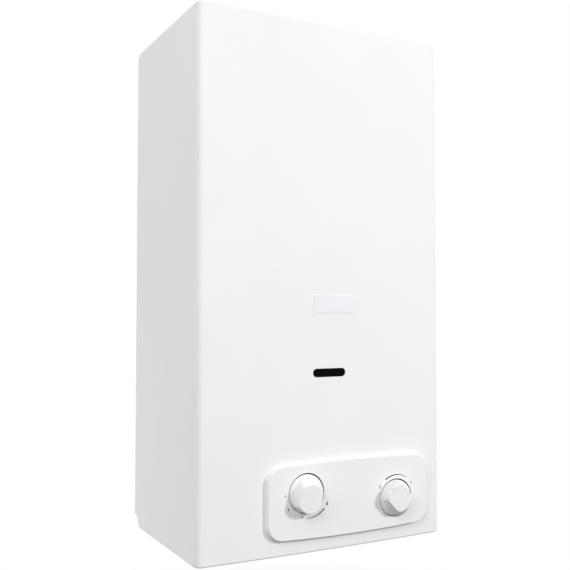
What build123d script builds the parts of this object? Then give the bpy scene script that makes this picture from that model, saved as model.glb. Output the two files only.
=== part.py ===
from build123d import *
from math import cos, radians, tan
import os

# A wall-hung gas water heater with an open flue, a pilot flame and two control knobs.
# Bench frame, in millimetres: X to the right, Y into the wall with 0 on the wall, Z up from the
# casing's bottom edge. Each piece is moved down to the hanging slots as it is written.

# Shared
overrun = 5.0
fit_gap = 0.05
seat_gap = 0.3
sheet = 1.0

# Casing
casing_width = 295.0
casing_height = 565.0
casing_depth = 208.0
front_crown = 3.0
corner_radius = 8.0
edge_roll = 2.0
top_lip = 24.0
bottom_lip = 12.0
relief_radius = 14.5
rear_bevel_depth = 9.0
rear_bevel_height = 5.0

# Control plateau
plateau_width = 197.4
plateau_height = 80.0
plateau_rise = 5.0
plateau_corner = 21.2
plateau_draft = 15.0
plateau_bevel = 1.2
plateau_flare = 50.0
plateau_flare_height = 1.2
plateau_margin = 23.0
plateau_z = 54.6

# Knobs
knob_spacing = 111.0
gas_knob_rise = 8.4
water_knob_drop = 7.7
knob_radius = 19.7
knob_gap = 0.8
knob_depth = 4.0
knob_band = 0.8
knob_face_radius = 14.4
knob_height = 14.0
knob_face_edge = 1.0
knob_face_slope = 45.0
knob_lean = 3.5
knob_sides = 48
knob_flat = 12.5
knob_ledge = 1.6
gas_pointer = 255.5
water_pointer = 134.0
tang_size = 5.6
tang_length = 12.0

# Sight window
sight_x = 0.9
sight_z = 186.85
sight_length = 39.7
sight_height = 9.15
glass_margin = 6.5
glass_thickness = 2.0
glass_frame_wall = 3.0
glass_frame_floor = 1.2

# Back plate
plate_foot = 22.0
plate_flange = 18.0
hang_drop = 37.0
hang_spacing = 190.0
slot_length = 18.0
slot_width = 8.0
fixing_height = 48.0
fixing_radius = 3.5
swage_spacing = 120.0
swage_width = 14.0
swage_depth = 3.0
swage_low = 95.0
swage_drop = 85.0

# Heat exchanger
exchanger_standoff = 29.0
side_clearance = 43.5
front_clearance = 29.0
chamber_gap = 5.0
shell_wall = 1.0
fin_count = 12
fin_height = 56.0
fin_thickness = 1.0
fin_drop = 4.0
tube_radius = 8.0
tube_pitch = 30.0
tube_reach = 12.0
header_wall = 3.0
header_edge = 3.0

# Draught hood and flue
collar_radius = 60.0
collar_wall = 1.0
collar_height = 45.0
collar_proud = 10.0
hood_height = 118.0
hood_skirt = 42.0
hood_side_margin = 16.0
hood_end_margin = 8.0
relief_length = 140.0
relief_height = 20.0
relief_rise = 10.0

# Burner
rail_count = 12
rail_margin = 8.0
rail_width = 10.0
rail_height = 45.0
rail_setback = 10.0
rail_shoulder = 3.0
mouth_width = 8.0
mouth_height = 14.0
mouth_gap = 2.0
mouth_rise = 7.0
burner_wall = 1.2
air_gap = 28.0
bar_depth = 8.0
bar_height = 4.0
bar_inset = 14.0
manifold_size = 14.0
manifold_gap = 5.0
jet_radius = 2.5
elbow_width = 20.0
elbow_height = 18.0
elbow_neck = 8.0
elbow_clearance = 2.0
elbow_bevel = 7.0

# Pilot group
pilot_space = 15.0
pilot_radius = 3.6
pilot_rise = 7.0
electrode_radius = 2.4
electrode_tip_radius = 0.9
electrode_tip = 8.0
probe_radius = 2.0
pilot_bracket_thickness = 1.2
pilot_bracket_rise = 26.0

# Gas valve
works_setback = 96.0
gas_body_width = 62.0
gas_body_depth = 58.0
gas_body_height = 58.0
body_corner = 5.0
gland_radius = 14.0
gland_length = 22.0
spindle_radius = 4.0
spindle_entry = 16.0
press_travel = 8.0
chamber_wall = 7.0
poppet_radius = 11.0
poppet_thickness = 4.0
poppet_clearance = 2.0
rod_radius = 3.0
rod_travel = 4.0
rod_entry = 6.0
bridge_width = 26.0
bridge_height = 34.0
bridge_wall = 5.0

# Piezo igniter
piezo_gap = 5.0
piezo_width = 18.0
piezo_length = 42.0
piezo_setback = 3.0
piezo_edge = 2.0
piezo_foot_height = 12.0
piezo_foot_length = 20.0
plunger_size = 7.0
plunger_entry = 7.0
collar_hex = 7.5
yoke_thickness = 2.0
yoke_width = 16.0
yoke_clearance = 0.6

# Water valve
water_body_width = 48.0
water_body_depth = 58.0
water_body_height = 52.0
water_spindle_rise = 22.5
flange_radius = 38.0
flange_thickness = 12.0
water_cover_thickness = 14.0
diaphragm_thickness = 2.0
water_gland_radius = 12.0
water_gland_length = 17.0
boss_size = 24.0
boss_height = 26.0
nut_radius = 14.0
nut_height = 16.0
plug_radius = 8.0
plug_length = 9.0

# Pipe connections
stub_drop = 14.0
stub_radius = 10.48
stub_bore = 7.0
stub_bore_depth = 30.0
hot_stub_height = 32.0
gas_inlet_offset = 8.0
magnet_offset = 20.0
magnet_radius = 9.0
magnet_length = 14.0
magnet_nut_radius = 6.5
magnet_nut_height = 8.0

# Brackets and sensors
bracket_sheet = 1.5
bracket_width = 70.0
bracket_height = 24.0
upper_bracket_drop = 40.0
lower_bracket_rise = 40.0
valve_bracket_width = 50.0
clip_width = 14.0
clip_height = 20.0
clip_z = 118.0
sensor_radius = 8.0
sensor_height = 6.0
spill_inset = 12.0
overheat_inset = 40.0
clip_sensor_width = 22.0
clip_sensor_height = 12.0

# Places worked out from the sizes above
hang_height = casing_height - hang_drop
plateau_y = -(casing_depth + plateau_rise)
plateau_x = casing_width / 2 - plateau_margin - plateau_width / 2
gas_x = plateau_x - knob_spacing / 2
water_x = plateau_x + knob_spacing / 2
gas_knob_z = plateau_z + gas_knob_rise
water_knob_z = plateau_z - water_knob_drop
knob_rear = plateau_y + knob_depth
valve_y = works_setback - casing_depth
gas_left = gas_x - gas_body_width / 2
gas_right = gas_x + gas_body_width / 2
gas_front = valve_y - gas_body_depth / 2
gas_rear = valve_y + gas_body_depth / 2
gas_base = gas_knob_z - gas_body_height / 2
gas_top = gas_knob_z + gas_body_height / 2
gland_front = gas_front - gland_length
seat_x = gas_right - rod_entry - 2 * rod_travel
water_front = valve_y - water_body_depth / 2
water_body_base = water_knob_z - water_spindle_rise
water_top = water_body_base + water_body_height
water_right = water_x + water_body_width / 2
diaphragm_x = water_x - water_body_width / 2
water_cover_x = diaphragm_x - diaphragm_thickness
water_cover_left = water_cover_x - water_cover_thickness
piezo_x = gas_left - piezo_gap - piezo_width / 2
piezo_front = gland_front + piezo_setback
yoke_rear = gland_front - press_travel - yoke_clearance
yoke_front = yoke_rear - yoke_thickness
plunger_rear = piezo_front + plunger_entry
exchanger_width = casing_width - 2 * side_clearance
exchanger_depth = casing_depth - exchanger_standoff - front_clearance
exchanger_y = -(exchanger_standoff + exchanger_depth / 2)
exchanger_rear = -exchanger_standoff
exchanger_front = front_clearance - casing_depth
elbow_top = gas_top + elbow_neck + elbow_height
rail_base = elbow_top + elbow_clearance + bar_height
rail_top = rail_base + rail_height
rail_front = exchanger_front + pilot_space
rail_rear = exchanger_rear - rail_setback
rail_pitch = (exchanger_width - 2 * rail_margin) / rail_count
rail_places = [rail_pitch * (i - (rail_count - 1) / 2) for i in range(rail_count)]
mouth_z = rail_base + mouth_rise
manifold_rear = exchanger_front - manifold_gap
manifold_front = manifold_rear - manifold_size
manifold_base = mouth_z - manifold_size / 2
pilot_y = (rail_front + exchanger_front + burner_wall) / 2
pilot_seat = rail_base + pilot_bracket_rise + pilot_bracket_thickness
chamber_base = rail_top + chamber_gap
collar_base = casing_height + collar_proud - collar_height
shell_top = collar_base - hood_height
hood_top_width = 2 * (collar_radius + hood_side_margin)
hood_top_depth = 2 * (collar_radius + hood_end_margin)
fin_base = shell_top - fin_drop - fin_height
tube_z = fin_base + fin_height / 2
front_row = exchanger_y - tube_pitch
rear_row = exchanger_y + tube_pitch
tube_rows = [front_row, exchanger_y, rear_row]
side_run = exchanger_width / 2 + tube_reach
header_reach = tube_radius + header_wall


def block(x, y, z):
    """A box from its low and high limits on each axis."""
    centre = Pos((x[0] + x[1]) / 2, (y[0] + y[1]) / 2, (z[0] + z[1]) / 2)
    return centre * Box(x[1] - x[0], y[1] - y[0], z[1] - z[0])


def along_x(radius, y, z, low, high):
    return Pos((low + high) / 2, y, z) * Rot(0, 90, 0) * Cylinder(radius, high - low)


def along_y(radius, x, z, low, high):
    return Pos(x, (low + high) / 2, z) * Rot(90, 0, 0) * Cylinder(radius, high - low)


def along_z(radius, x, y, low, high):
    return Pos(x, y, (low + high) / 2) * Cylinder(radius, high - low)


def hex_z(radius, x, y, low, high):
    return Pos(x, y, low) * extrude(RegularPolygon(radius, 6), high - low)


def hex_y(radius, x, z, low, high):
    face = Plane((x, low, z), x_dir=(1, 0, 0), z_dir=(0, 1, 0))
    return extrude(face * RegularPolygon(radius, 6), high - low)


def prism_x(sides, radius, y, z, low, high):
    face = Plane((low, y, z), x_dir=(0, 1, 0), z_dir=(1, 0, 0))
    return extrude(face * RegularPolygon(radius, sides), high - low)


def cover_plan(inset, rear):
    """The cover's outline from above: straight sides and a crowned front."""
    half = casing_width / 2 - inset
    front = casing_depth - inset
    shoulder = front - front_crown
    sides = Polyline((half, -shoulder), (half, rear), (-half, rear), (-half, -shoulder))
    crown = ThreePointArc((-half, -shoulder), (0, -front), (half, -shoulder))
    plan = make_face(sides.edges() + crown.edges())
    return fillet(plan.vertices().sort_by(Axis.Y)[:2], corner_radius - inset)


def plateau_form(inset):
    """The drafted block of the control plateau, with a wider flare where it leaves the front."""
    slope = radians(plateau_draft)
    shrink = inset * (1 / cos(slope) - tan(slope))
    depth = plateau_rise + front_crown + overrun
    wide, tall = plateau_width - 2 * shrink, plateau_height - 2 * shrink
    round_off = plateau_corner - shrink
    face = Plane((plateau_x, plateau_y + inset, plateau_z), x_dir=(1, 0, 0), z_dir=(0, 1, 0))
    crown = extrude(face * RectangleRounded(wide, tall, round_off), depth, taper=-plateau_draft)
    step = plateau_rise - plateau_flare_height
    grow = step * tan(slope)
    foot = face.offset(step) * RectangleRounded(
        wide + 2 * grow, tall + 2 * grow, round_off + grow
    )
    return crown + extrude(foot, plateau_flare_height + front_crown, taper=-plateau_flare)


def cover_form(inset, rear):
    """The cover's solid form, or with an inset the space inside its sheet."""
    tall = casing_height - 2 * inset
    body = Pos(0, 0, inset) * extrude(cover_plan(inset, rear), tall)
    ends = body.edges().filter_by(Plane.XY).filter_by(lambda e: e.center().Y < rear - overrun)
    form = chamfer(ends, edge_roll - inset) + plateau_form(inset)
    return chamfer(form.faces().sort_by(Axis.Y)[0].edges(), plateau_bevel - inset)


def lip_opening(lip, low, high):
    half = casing_width / 2 - lip
    return block((-half, half), (lip + front_crown - casing_depth, overrun), (low, high))


def rear_bevel():
    """The clipped upper rear corners of the cover's sides, as one cut."""
    outline = Polyline(
        (-rear_bevel_depth, casing_height),
        (overrun, casing_height + overrun),
        (overrun, casing_height - rear_bevel_height),
        (0, casing_height - rear_bevel_height),
        close=True,
    )
    face = Plane((-casing_width / 2 - overrun, 0, 0), x_dir=(0, 1, 0), z_dir=(1, 0, 0))
    return extrude(face * make_face(outline.edges()), casing_width + 2 * overrun)


def sight_slot(margin, front, rear):
    face = Plane((sight_x, front, sight_z), x_dir=(1, 0, 0), z_dir=(0, 1, 0))
    outline = SlotOverall(sight_length + 2 * margin, sight_height + 2 * margin)
    return extrude(face * outline, rear - front)


def front_cover():
    cover = cover_form(0, 0) - cover_form(sheet, overrun)
    cover -= lip_opening(top_lip, casing_height - sheet - overrun, casing_height + overrun)
    cover -= lip_opening(bottom_lip, -overrun, sheet + overrun)
    half = casing_width / 2 + overrun
    cover -= along_x(relief_radius, 0, 0, -half, half)
    cover -= rear_bevel()
    for x, z in ((gas_x, gas_knob_z), (water_x, water_knob_z)):
        cover -= along_y(knob_radius + knob_gap, x, z, plateau_y - overrun, plateau_y + overrun)
    return cover - sight_slot(0, -casing_depth - overrun, overrun - casing_depth)


def glass_front():
    """The flat seat behind the crowned front, clear of the crown at the frame's far end."""
    far = abs(sight_x) + sight_length / 2 + glass_margin + glass_frame_wall
    sag = front_crown * (2 * far / casing_width) ** 2
    return sheet + sag + fit_gap - casing_depth


def glass_plate(margin, front, rear):
    width = sight_length + 2 * margin
    height = sight_height + 2 * margin
    return block(
        (sight_x - width / 2, sight_x + width / 2),
        (front, rear),
        (sight_z - height / 2, sight_z + height / 2),
    )


def sight_glass():
    front = glass_front()
    return glass_plate(glass_margin, front, front + glass_thickness)


def sight_frame():
    front = glass_front()
    floor = front + glass_thickness
    frame = glass_plate(glass_margin + glass_frame_wall, front, floor + glass_frame_floor)
    frame -= glass_plate(glass_margin + fit_gap, front - overrun, floor)
    return frame - glass_plate(0, front, floor + overrun)


def swage(x, inset):
    """One long stiffening rib of the back plate, or with an inset its hollow side."""
    half = swage_width / 2 - inset
    deep = swage_depth + sheet - inset
    top = casing_height - swage_drop
    return block((x - half, x + half), (-deep, 0), (swage_low + inset, top - inset))


def back_plate():
    half = casing_width / 2 - sheet - seat_gap
    top = casing_height - sheet - seat_gap
    plate = block((-half, half), (-sheet, 0), (plate_foot, top))
    for low, high in ((-half, sheet - half), (half - sheet, half)):
        plate += block((low, high), (-plate_flange, 0), (plate_foot, top - rear_bevel_height))
    for x in (-swage_spacing / 2, swage_spacing / 2):
        plate = plate + swage(x, 0) - swage(x, sheet)
    face = Plane((0, overrun, 0), x_dir=(1, 0, 0), z_dir=(0, -1, 0))
    for x in (-hang_spacing / 2, hang_spacing / 2):
        slot = face * (Pos(x, hang_height) * SlotOverall(slot_length, slot_width))
        plate -= extrude(slot, 2 * overrun)
        plate -= along_y(fixing_radius, x, fixing_height, -overrun, overrun)
    return plate


def knob(x, z, pointer):
    """A cap leaning toward its pointer, with two grip flats and a square socket behind."""
    rim = RegularPolygon(knob_radius, knob_sides)
    brow = RegularPolygon(knob_face_radius + knob_face_edge, knob_sides)
    brow = Pos(knob_lean, 0, knob_height - knob_face_edge) * brow
    cap = Pos(0, 0, -knob_depth) * extrude(rim, knob_depth + knob_band)
    cap += loft([Pos(0, 0, knob_band) * rim, brow], ruled=True)
    cap += extrude(brow, knob_face_edge, taper=knob_face_slope)
    for side in (-1, 1):
        near, far = sorted((side * knob_flat, side * (knob_radius + overrun)))
        cap -= block((-knob_radius, knob_radius), (near, far), (knob_ledge, knob_height + overrun))
    half = tang_size / 2 + fit_gap
    cap -= block((-half, half), (-half, half), (-knob_depth, tang_length - knob_depth + fit_gap))
    return Pos(x, plateau_y, z) * Rot(90, 0, 0) * Rot(0, 0, pointer) * cap


def spindle(x, z, rear, pointer):
    """A round shaft from its valve to a knob, with a square tang in the knob's socket."""
    half = tang_size / 2
    tang = block((-half, half), (-half, half), (-knob_depth, tang_length - knob_depth))
    tang = Pos(x, plateau_y, z) * Rot(90, 0, 0) * Rot(0, 0, pointer) * tang
    return along_y(spindle_radius, x, z, knob_rear, rear) + tang


def gas_spindle():
    shaft = spindle(gas_x, gas_knob_z, gas_front + spindle_entry, gas_pointer)
    return shaft + hex_y(collar_hex, gas_x, gas_knob_z, yoke_front - yoke_thickness, yoke_front)


def press_yoke():
    """A flat fork that the spindle's collar pushes back on to the piezo plunger."""
    half = yoke_width / 2
    grip = spindle_radius + fit_gap
    bar = block(
        (piezo_x - half, gas_x + half),
        (yoke_front, yoke_rear),
        (gas_knob_z - half, gas_knob_z + half),
    )
    return bar - block(
        (gas_x - grip, gas_x + half), (yoke_front, yoke_rear), (gas_knob_z - grip, gas_knob_z + grip)
    )


def square_y(size, x, z, low, high):
    half = size / 2
    return block((x - half, x + half), (low, high), (z - half, z + half))


def piezo_plunger():
    return square_y(plunger_size, piezo_x, gas_knob_z, yoke_rear, plunger_rear)


def piezo_igniter():
    rear = piezo_front + piezo_length
    body = square_y(piezo_width, piezo_x, gas_knob_z, piezo_front, rear)
    body = chamfer(body.edges().filter_by(Axis.Y), piezo_edge)
    half = piezo_foot_height / 2
    foot_front = gas_front + body_corner
    body += block(
        (piezo_x, gas_left),
        (foot_front, foot_front + piezo_foot_length),
        (gas_knob_z - half, gas_knob_z + half),
    )
    bore_rear = plunger_rear + press_travel + seat_gap
    bore = square_y(plunger_size + 2 * fit_gap, piezo_x, gas_knob_z, piezo_front, bore_rear)
    return body - bore


def stub(x, y, top):
    """A male pipe connection below a casting, before its bore is cut."""
    return along_z(stub_radius, x, y, -stub_drop, top)


def stub_hole(x, y):
    return along_z(stub_bore, x, y, -stub_drop, stub_bore_depth - stub_drop)


def gas_valve_body():
    """The gas casting: its inlet below, a boxed valve chamber inside and bores for rod and spindle."""
    inlet_x = gas_x + gas_inlet_offset
    body = block((gas_left, gas_right), (gas_front, gas_rear), (gas_base, gas_top))
    body = fillet(body.edges().filter_by(Axis.Z), body_corner)
    body = body + stub(inlet_x, valve_y, gas_base) - stub_hole(inlet_x, valve_y)
    half = poppet_radius + poppet_clearance
    body -= block(
        (gas_left + chamber_wall, seat_x),
        (valve_y - half, valve_y + half),
        (gas_knob_z - half, gas_knob_z + half),
    )
    body -= along_x(rod_radius + fit_gap, valve_y, gas_knob_z, seat_x, gas_right)
    bore_rear = gas_front + spindle_entry + press_travel + seat_gap
    return body - along_y(spindle_radius + fit_gap, gas_x, gas_knob_z, gas_front, bore_rear)


def gland(x, z, radius, length, rear):
    """The hexagon nut that guides a spindle in front of its valve."""
    nut = hex_y(radius, x, z, rear - length, rear)
    return nut - along_y(spindle_radius + fit_gap, x, z, rear - length, rear)


def gas_poppet():
    disc = prism_x(8, poppet_radius, valve_y, gas_knob_z, seat_x - poppet_thickness, seat_x)
    stem_end = gas_right - rod_entry - fit_gap
    return disc + prism_x(6, rod_radius, valve_y, gas_knob_z, seat_x, stem_end)


def valve_rod():
    low, high = gas_right - rod_entry, water_cover_x - seat_gap
    return along_x(rod_radius, valve_y, gas_knob_z, low, high)


def valve_bridge():
    """The open cast frame round the rod, which bolts the water valve to the gas valve."""
    ends = (gas_right, water_cover_left)
    half, rise, way = bridge_width / 2, bridge_height / 2, rod_radius + seat_gap
    sides = (valve_y - half, valve_y + half)
    bridge = block(ends, sides, (gas_knob_z - rise, gas_knob_z + rise))
    window = rise - bridge_wall
    bridge -= block(
        (gas_right + bridge_wall, water_cover_left - bridge_wall),
        sides,
        (gas_knob_z - window, gas_knob_z + window),
    )
    return bridge - block(
        ends, (valve_y - way, valve_y + way), (gas_knob_z - way, gas_knob_z + way)
    )


def water_valve_cover():
    ends = (water_cover_left, water_cover_x)
    cover = prism_x(8, flange_radius, valve_y, gas_knob_z, *ends)
    return cover - along_x(rod_radius + fit_gap, valve_y, gas_knob_z, *ends)


def diaphragm():
    return prism_x(8, flange_radius, valve_y, gas_knob_z, water_cover_x, diaphragm_x)


def water_valve_body():
    """The water casting: diaphragm flange, inlet below, outlet boss at the side, spindle bore."""
    body = block(
        (diaphragm_x, water_right),
        (water_front, valve_y + water_body_depth / 2),
        (water_body_base, water_top),
    )
    body = fillet(body.edges().filter_by(Axis.Z), body_corner)
    body += prism_x(8, flange_radius, valve_y, gas_knob_z, diaphragm_x, diaphragm_x + flange_thickness)
    half = boss_size / 2
    body += block(
        (water_right - body_corner, side_run + half),
        (front_row - half, front_row + half),
        (water_top - boss_height, water_top),
    )
    body = body + stub(water_x, valve_y, water_body_base) - stub_hole(water_x, valve_y)
    rear = water_front + spindle_entry + seat_gap
    return body - along_y(spindle_radius + fit_gap, water_x, water_knob_z, water_front, rear)


def magnet_unit():
    x = gas_x - magnet_offset
    nut_top = gas_base - magnet_length
    unit = hex_z(magnet_radius, x, valve_y, nut_top, gas_base)
    return unit + hex_z(magnet_nut_radius, x, valve_y, nut_top - magnet_nut_height, nut_top)


def drain_plug():
    z = water_body_base + plug_radius
    return prism_x(6, plug_radius, valve_y, z, water_right, water_right + plug_length)


def riser_nut():
    return hex_z(nut_radius, side_run, front_row, water_top, water_top + nut_height)


def cold_riser():
    return along_z(tube_radius, side_run, front_row, water_top + nut_height, tube_z - header_reach)


def hot_pipe():
    """The straight pipe down from the exchanger, with its connection at the lower end."""
    pipe = along_z(tube_radius, -side_run, rear_row, hot_stub_height, tube_z - header_reach)
    pipe += stub(-side_run, rear_row, hot_stub_height)
    return pipe - stub_hole(-side_run, rear_row)


def header(side, rows):
    """A brazed box on the chamber's side that joins tube ends, or a tube end and a pipe."""
    near, far = sorted((side * exchanger_width / 2, side * (side_run + header_reach)))
    box = block(
        (near, far),
        (min(rows) - header_reach, max(rows) + header_reach),
        (tube_z - header_reach, tube_z + header_reach),
    )
    outer = box.faces().sort_by(Axis.X)[-1 if side > 0 else 0]
    return chamfer(outer.edges(), header_edge)


def exchanger_tubes():
    reach = exchanger_width / 2 - shell_wall
    return Compound(children=[along_x(tube_radius, y, tube_z, -reach, reach) for y in tube_rows])


def exchanger_fins():
    """Thin upright plates pressed down over the tubes, as one pack."""
    inner_width = exchanger_width - 2 * shell_wall
    pitch = inner_width / (fin_count + 1)
    reach = exchanger_depth / 2 - shell_wall - fit_gap
    grip = tube_radius + fit_gap
    fins = []
    for i in range(fin_count):
        x = pitch * (i + 1) - inner_width / 2
        thick = (x - fin_thickness / 2, x + fin_thickness / 2)
        fin = block(
            thick, (exchanger_y - reach, exchanger_y + reach), (fin_base, fin_base + fin_height)
        )
        for y in tube_rows:
            fin -= block(thick, (y - grip, y + grip), (fin_base, tube_z + grip))
        fins.append(fin)
    return Compound(children=fins)


def upright(width, depth, low, high):
    """A straight-sided box on the exchanger's centre line."""
    return block(
        (-width / 2, width / 2), (exchanger_y - depth / 2, exchanger_y + depth / 2), (low, high)
    )


def exchanger_shell():
    wall = 2 * shell_wall
    shell = upright(exchanger_width, exchanger_depth, chamber_base, shell_top)
    shell -= upright(exchanger_width - wall, exchanger_depth - wall, chamber_base, shell_top)
    return shell - sight_slot(seat_gap, exchanger_front - overrun, exchanger_front + overrun)


def hood_form(inset):
    """The hood's straight skirt and the taper up to its top plate."""
    wide, deep = exchanger_width - 2 * inset, exchanger_depth - 2 * inset
    waist = shell_top + hood_skirt
    top = collar_base - inset
    side = (exchanger_width - hood_top_width) / 2
    end = (exchanger_depth - hood_top_depth) / 2
    skirt = upright(wide, deep, shell_top, waist)
    taper = Wedge(wide, top - waist, deep, side, end, wide - side, deep - end)
    return skirt + Pos(0, exchanger_y, (waist + top) / 2) * Rot(90, 0, 0) * taper


def draft_hood():
    hood = hood_form(0) - hood_form(sheet)
    inner = collar_radius - collar_wall
    hood -= along_z(inner, 0, exchanger_y, collar_base - overrun, collar_base + overrun)
    low = shell_top + relief_rise
    half = relief_length / 2
    return hood - block(
        (-half, half),
        (exchanger_front - overrun, exchanger_rear + overrun),
        (low, low + relief_height),
    )


def flue_collar():
    top = collar_base + collar_height
    collar = along_z(collar_radius, 0, exchanger_y, collar_base, top)
    return collar - along_z(collar_radius - collar_wall, 0, exchanger_y, collar_base, top)


def spill_thermostat():
    y = exchanger_y + hood_top_depth / 2 - sensor_radius - sheet
    x = hood_top_width / 2 - spill_inset
    return hex_z(sensor_radius, x, y, collar_base, collar_base + sensor_height)


def overheat_thermostat():
    half_width, half_height = clip_sensor_width / 2, clip_sensor_height / 2
    x = exchanger_width / 2 - overheat_inset
    return block(
        (x - half_width, x + half_width),
        (exchanger_front - sensor_height, exchanger_front),
        (tube_z - half_height, tube_z + half_height),
    )


def burner_rails():
    """Upright burner blades with a narrow roof, each fed by a mixing mouth in front."""
    rails = []
    half = rail_width / 2
    reach = mouth_width / 2
    for x in rail_places:
        outline = Polyline(
            (x - half, rail_base),
            (x + half, rail_base),
            (x + half, rail_top - rail_shoulder),
            (x + half - rail_shoulder, rail_top),
            (x - half + rail_shoulder, rail_top),
            (x - half, rail_top - rail_shoulder),
            close=True,
        )
        face = Plane((0, rail_rear, 0), x_dir=(1, 0, 0), z_dir=(0, -1, 0))
        rail = extrude(face * make_face(outline.edges()), rail_rear - rail_front)
        rail += block(
            (x - reach, x + reach),
            (exchanger_front + mouth_gap, rail_front),
            (mouth_z - mouth_height / 2, mouth_z + mouth_height / 2),
        )
        rails.append(rail)
    return Compound(children=rails)


def burner_frame():
    """A sheet frame under the chamber, open for air at front and rear, with two rail bars."""
    low = rail_base - bar_height
    half = exchanger_width / 2
    reach = half - burner_wall
    around = (exchanger_front - overrun, exchanger_rear + overrun)
    frame = block((-half, half), (exchanger_front, exchanger_rear), (low, chamber_base))
    frame -= block(
        (-reach, reach),
        (exchanger_front + burner_wall, exchanger_rear - burner_wall),
        (low - overrun, chamber_base + overrun),
    )
    frame -= block((-reach, reach), around, (low - overrun, low + air_gap))
    for y in (rail_front + bar_inset, rail_rear - bar_inset):
        frame += block((-reach, reach), (y - bar_depth / 2, y + bar_depth / 2), (low, rail_base))
    return frame


def gas_manifold():
    half = exchanger_width / 2
    return block(
        (-half, half), (manifold_front, manifold_rear), (manifold_base, manifold_base + manifold_size)
    )


def burner_jets():
    tip = exchanger_front + fit_gap
    return Compound(
        children=[hex_y(jet_radius, x, mouth_z, manifold_rear, tip) for x in rail_places]
    )


def gas_elbow():
    """The cast duct from the top of the gas valve forward to the manifold."""
    half = elbow_width / 2
    sides = (gas_x - half, gas_x + half)
    low = elbow_top - elbow_height
    rear = valve_y + half
    duct = block(sides, (manifold_front, rear), (low, elbow_top))
    bend = duct.edges().filter_by(Axis.X).sort_by(Axis.Y)[-2:].sort_by(Axis.Z)[-1]
    duct = chamfer(bend, elbow_bevel)
    duct += block(sides, (rear - elbow_width, rear), (gas_top, low))
    return duct + block(sides, (manifold_front, manifold_rear), (elbow_top, manifold_base))


def pilot_bracket():
    front = exchanger_front + burner_wall
    return block(
        (-rail_pitch, 3 * rail_pitch),
        (front, rail_front),
        (pilot_seat - pilot_bracket_thickness, pilot_seat),
    )


def pilot_burner():
    return hex_z(pilot_radius, rail_pitch, pilot_y, pilot_seat, rail_top + pilot_rise)


def ignition_electrode():
    x = 2 * rail_pitch
    tip = rail_top + pilot_rise
    rod = hex_z(electrode_radius, x, pilot_y, pilot_seat, tip)
    return rod + hex_z(electrode_tip_radius, x, pilot_y, tip, tip + electrode_tip)


def thermocouple():
    return hex_z(probe_radius, 0, pilot_y, pilot_seat, rail_top + pilot_rise)


def channel(x, width, front, z, height):
    """A sheet channel that stands off the back plate and carries a piece on its web."""
    sides = (x - width / 2, x + width / 2)
    low, high = z - height / 2, z + height / 2
    bar = block(sides, (front, -sheet), (low, high))
    return bar - block(
        sides, (front + bracket_sheet, overrun), (low + bracket_sheet, high - bracket_sheet)
    )


def pipe_clip():
    front = rear_row + tube_radius + fit_gap
    return channel(-side_run, clip_width, front, clip_z, clip_height)


pieces = {
    "back_plate": back_plate(),
    "front_cover": front_cover(),
    "sight_glass": sight_glass(),
    "sight_frame": sight_frame(),
    "gas_knob": knob(gas_x, gas_knob_z, gas_pointer),
    "gas_spindle": gas_spindle(),
    "press_yoke": press_yoke(),
    "piezo_plunger": piezo_plunger(),
    "piezo_igniter": piezo_igniter(),
    "gas_valve_body": gas_valve_body(),
    "gas_gland": gland(gas_x, gas_knob_z, gland_radius, gland_length, gas_front),
    "gas_poppet": gas_poppet(),
    "magnet_unit": magnet_unit(),
    "valve_rod": valve_rod(),
    "valve_bridge": valve_bridge(),
    "water_knob": knob(water_x, water_knob_z, water_pointer),
    "water_spindle": spindle(water_x, water_knob_z, water_front + spindle_entry, water_pointer),
    "water_gland": gland(
        water_x, water_knob_z, water_gland_radius, water_gland_length, water_front
    ),
    "water_valve_cover": water_valve_cover(),
    "diaphragm": diaphragm(),
    "water_valve_body": water_valve_body(),
    "drain_plug": drain_plug(),
    "riser_nut": riser_nut(),
    "cold_riser": cold_riser(),
    "inlet_header": header(1, [front_row]),
    "right_return_header": header(1, [exchanger_y, rear_row]),
    "left_return_header": header(-1, [front_row, exchanger_y]),
    "outlet_header": header(-1, [rear_row]),
    "exchanger_tubes": exchanger_tubes(),
    "exchanger_fins": exchanger_fins(),
    "exchanger_shell": exchanger_shell(),
    "hot_pipe": hot_pipe(),
    "draft_hood": draft_hood(),
    "flue_collar": flue_collar(),
    "spill_thermostat": spill_thermostat(),
    "overheat_thermostat": overheat_thermostat(),
    "burner_rails": burner_rails(),
    "burner_frame": burner_frame(),
    "gas_manifold": gas_manifold(),
    "burner_jets": burner_jets(),
    "gas_elbow": gas_elbow(),
    "pilot_bracket": pilot_bracket(),
    "pilot_burner": pilot_burner(),
    "ignition_electrode": ignition_electrode(),
    "thermocouple": thermocouple(),
    "valve_bracket": channel(gas_x, valve_bracket_width, gas_rear, gas_knob_z, bracket_height),
    "upper_bracket": channel(
        0, bracket_width, exchanger_rear, shell_top - upper_bracket_drop, bracket_height
    ),
    "lower_bracket": channel(
        0, bracket_width, exchanger_rear, chamber_base + lower_bracket_rise, bracket_height
    ),
    "pipe_clip": pipe_clip(),
}

os.makedirs("parts", exist_ok=True)
for name, shape in pieces.items():
    export_step(Pos(0, 0, -hang_height) * shape, "parts/" + name + ".step")
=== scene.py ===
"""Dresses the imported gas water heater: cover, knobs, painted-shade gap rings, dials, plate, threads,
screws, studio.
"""

import logging
import math
from contextlib import contextmanager
from dataclasses import dataclass, field
from enum import Enum
from typing import Any, Callable, Iterator, Sequence, Union

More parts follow.
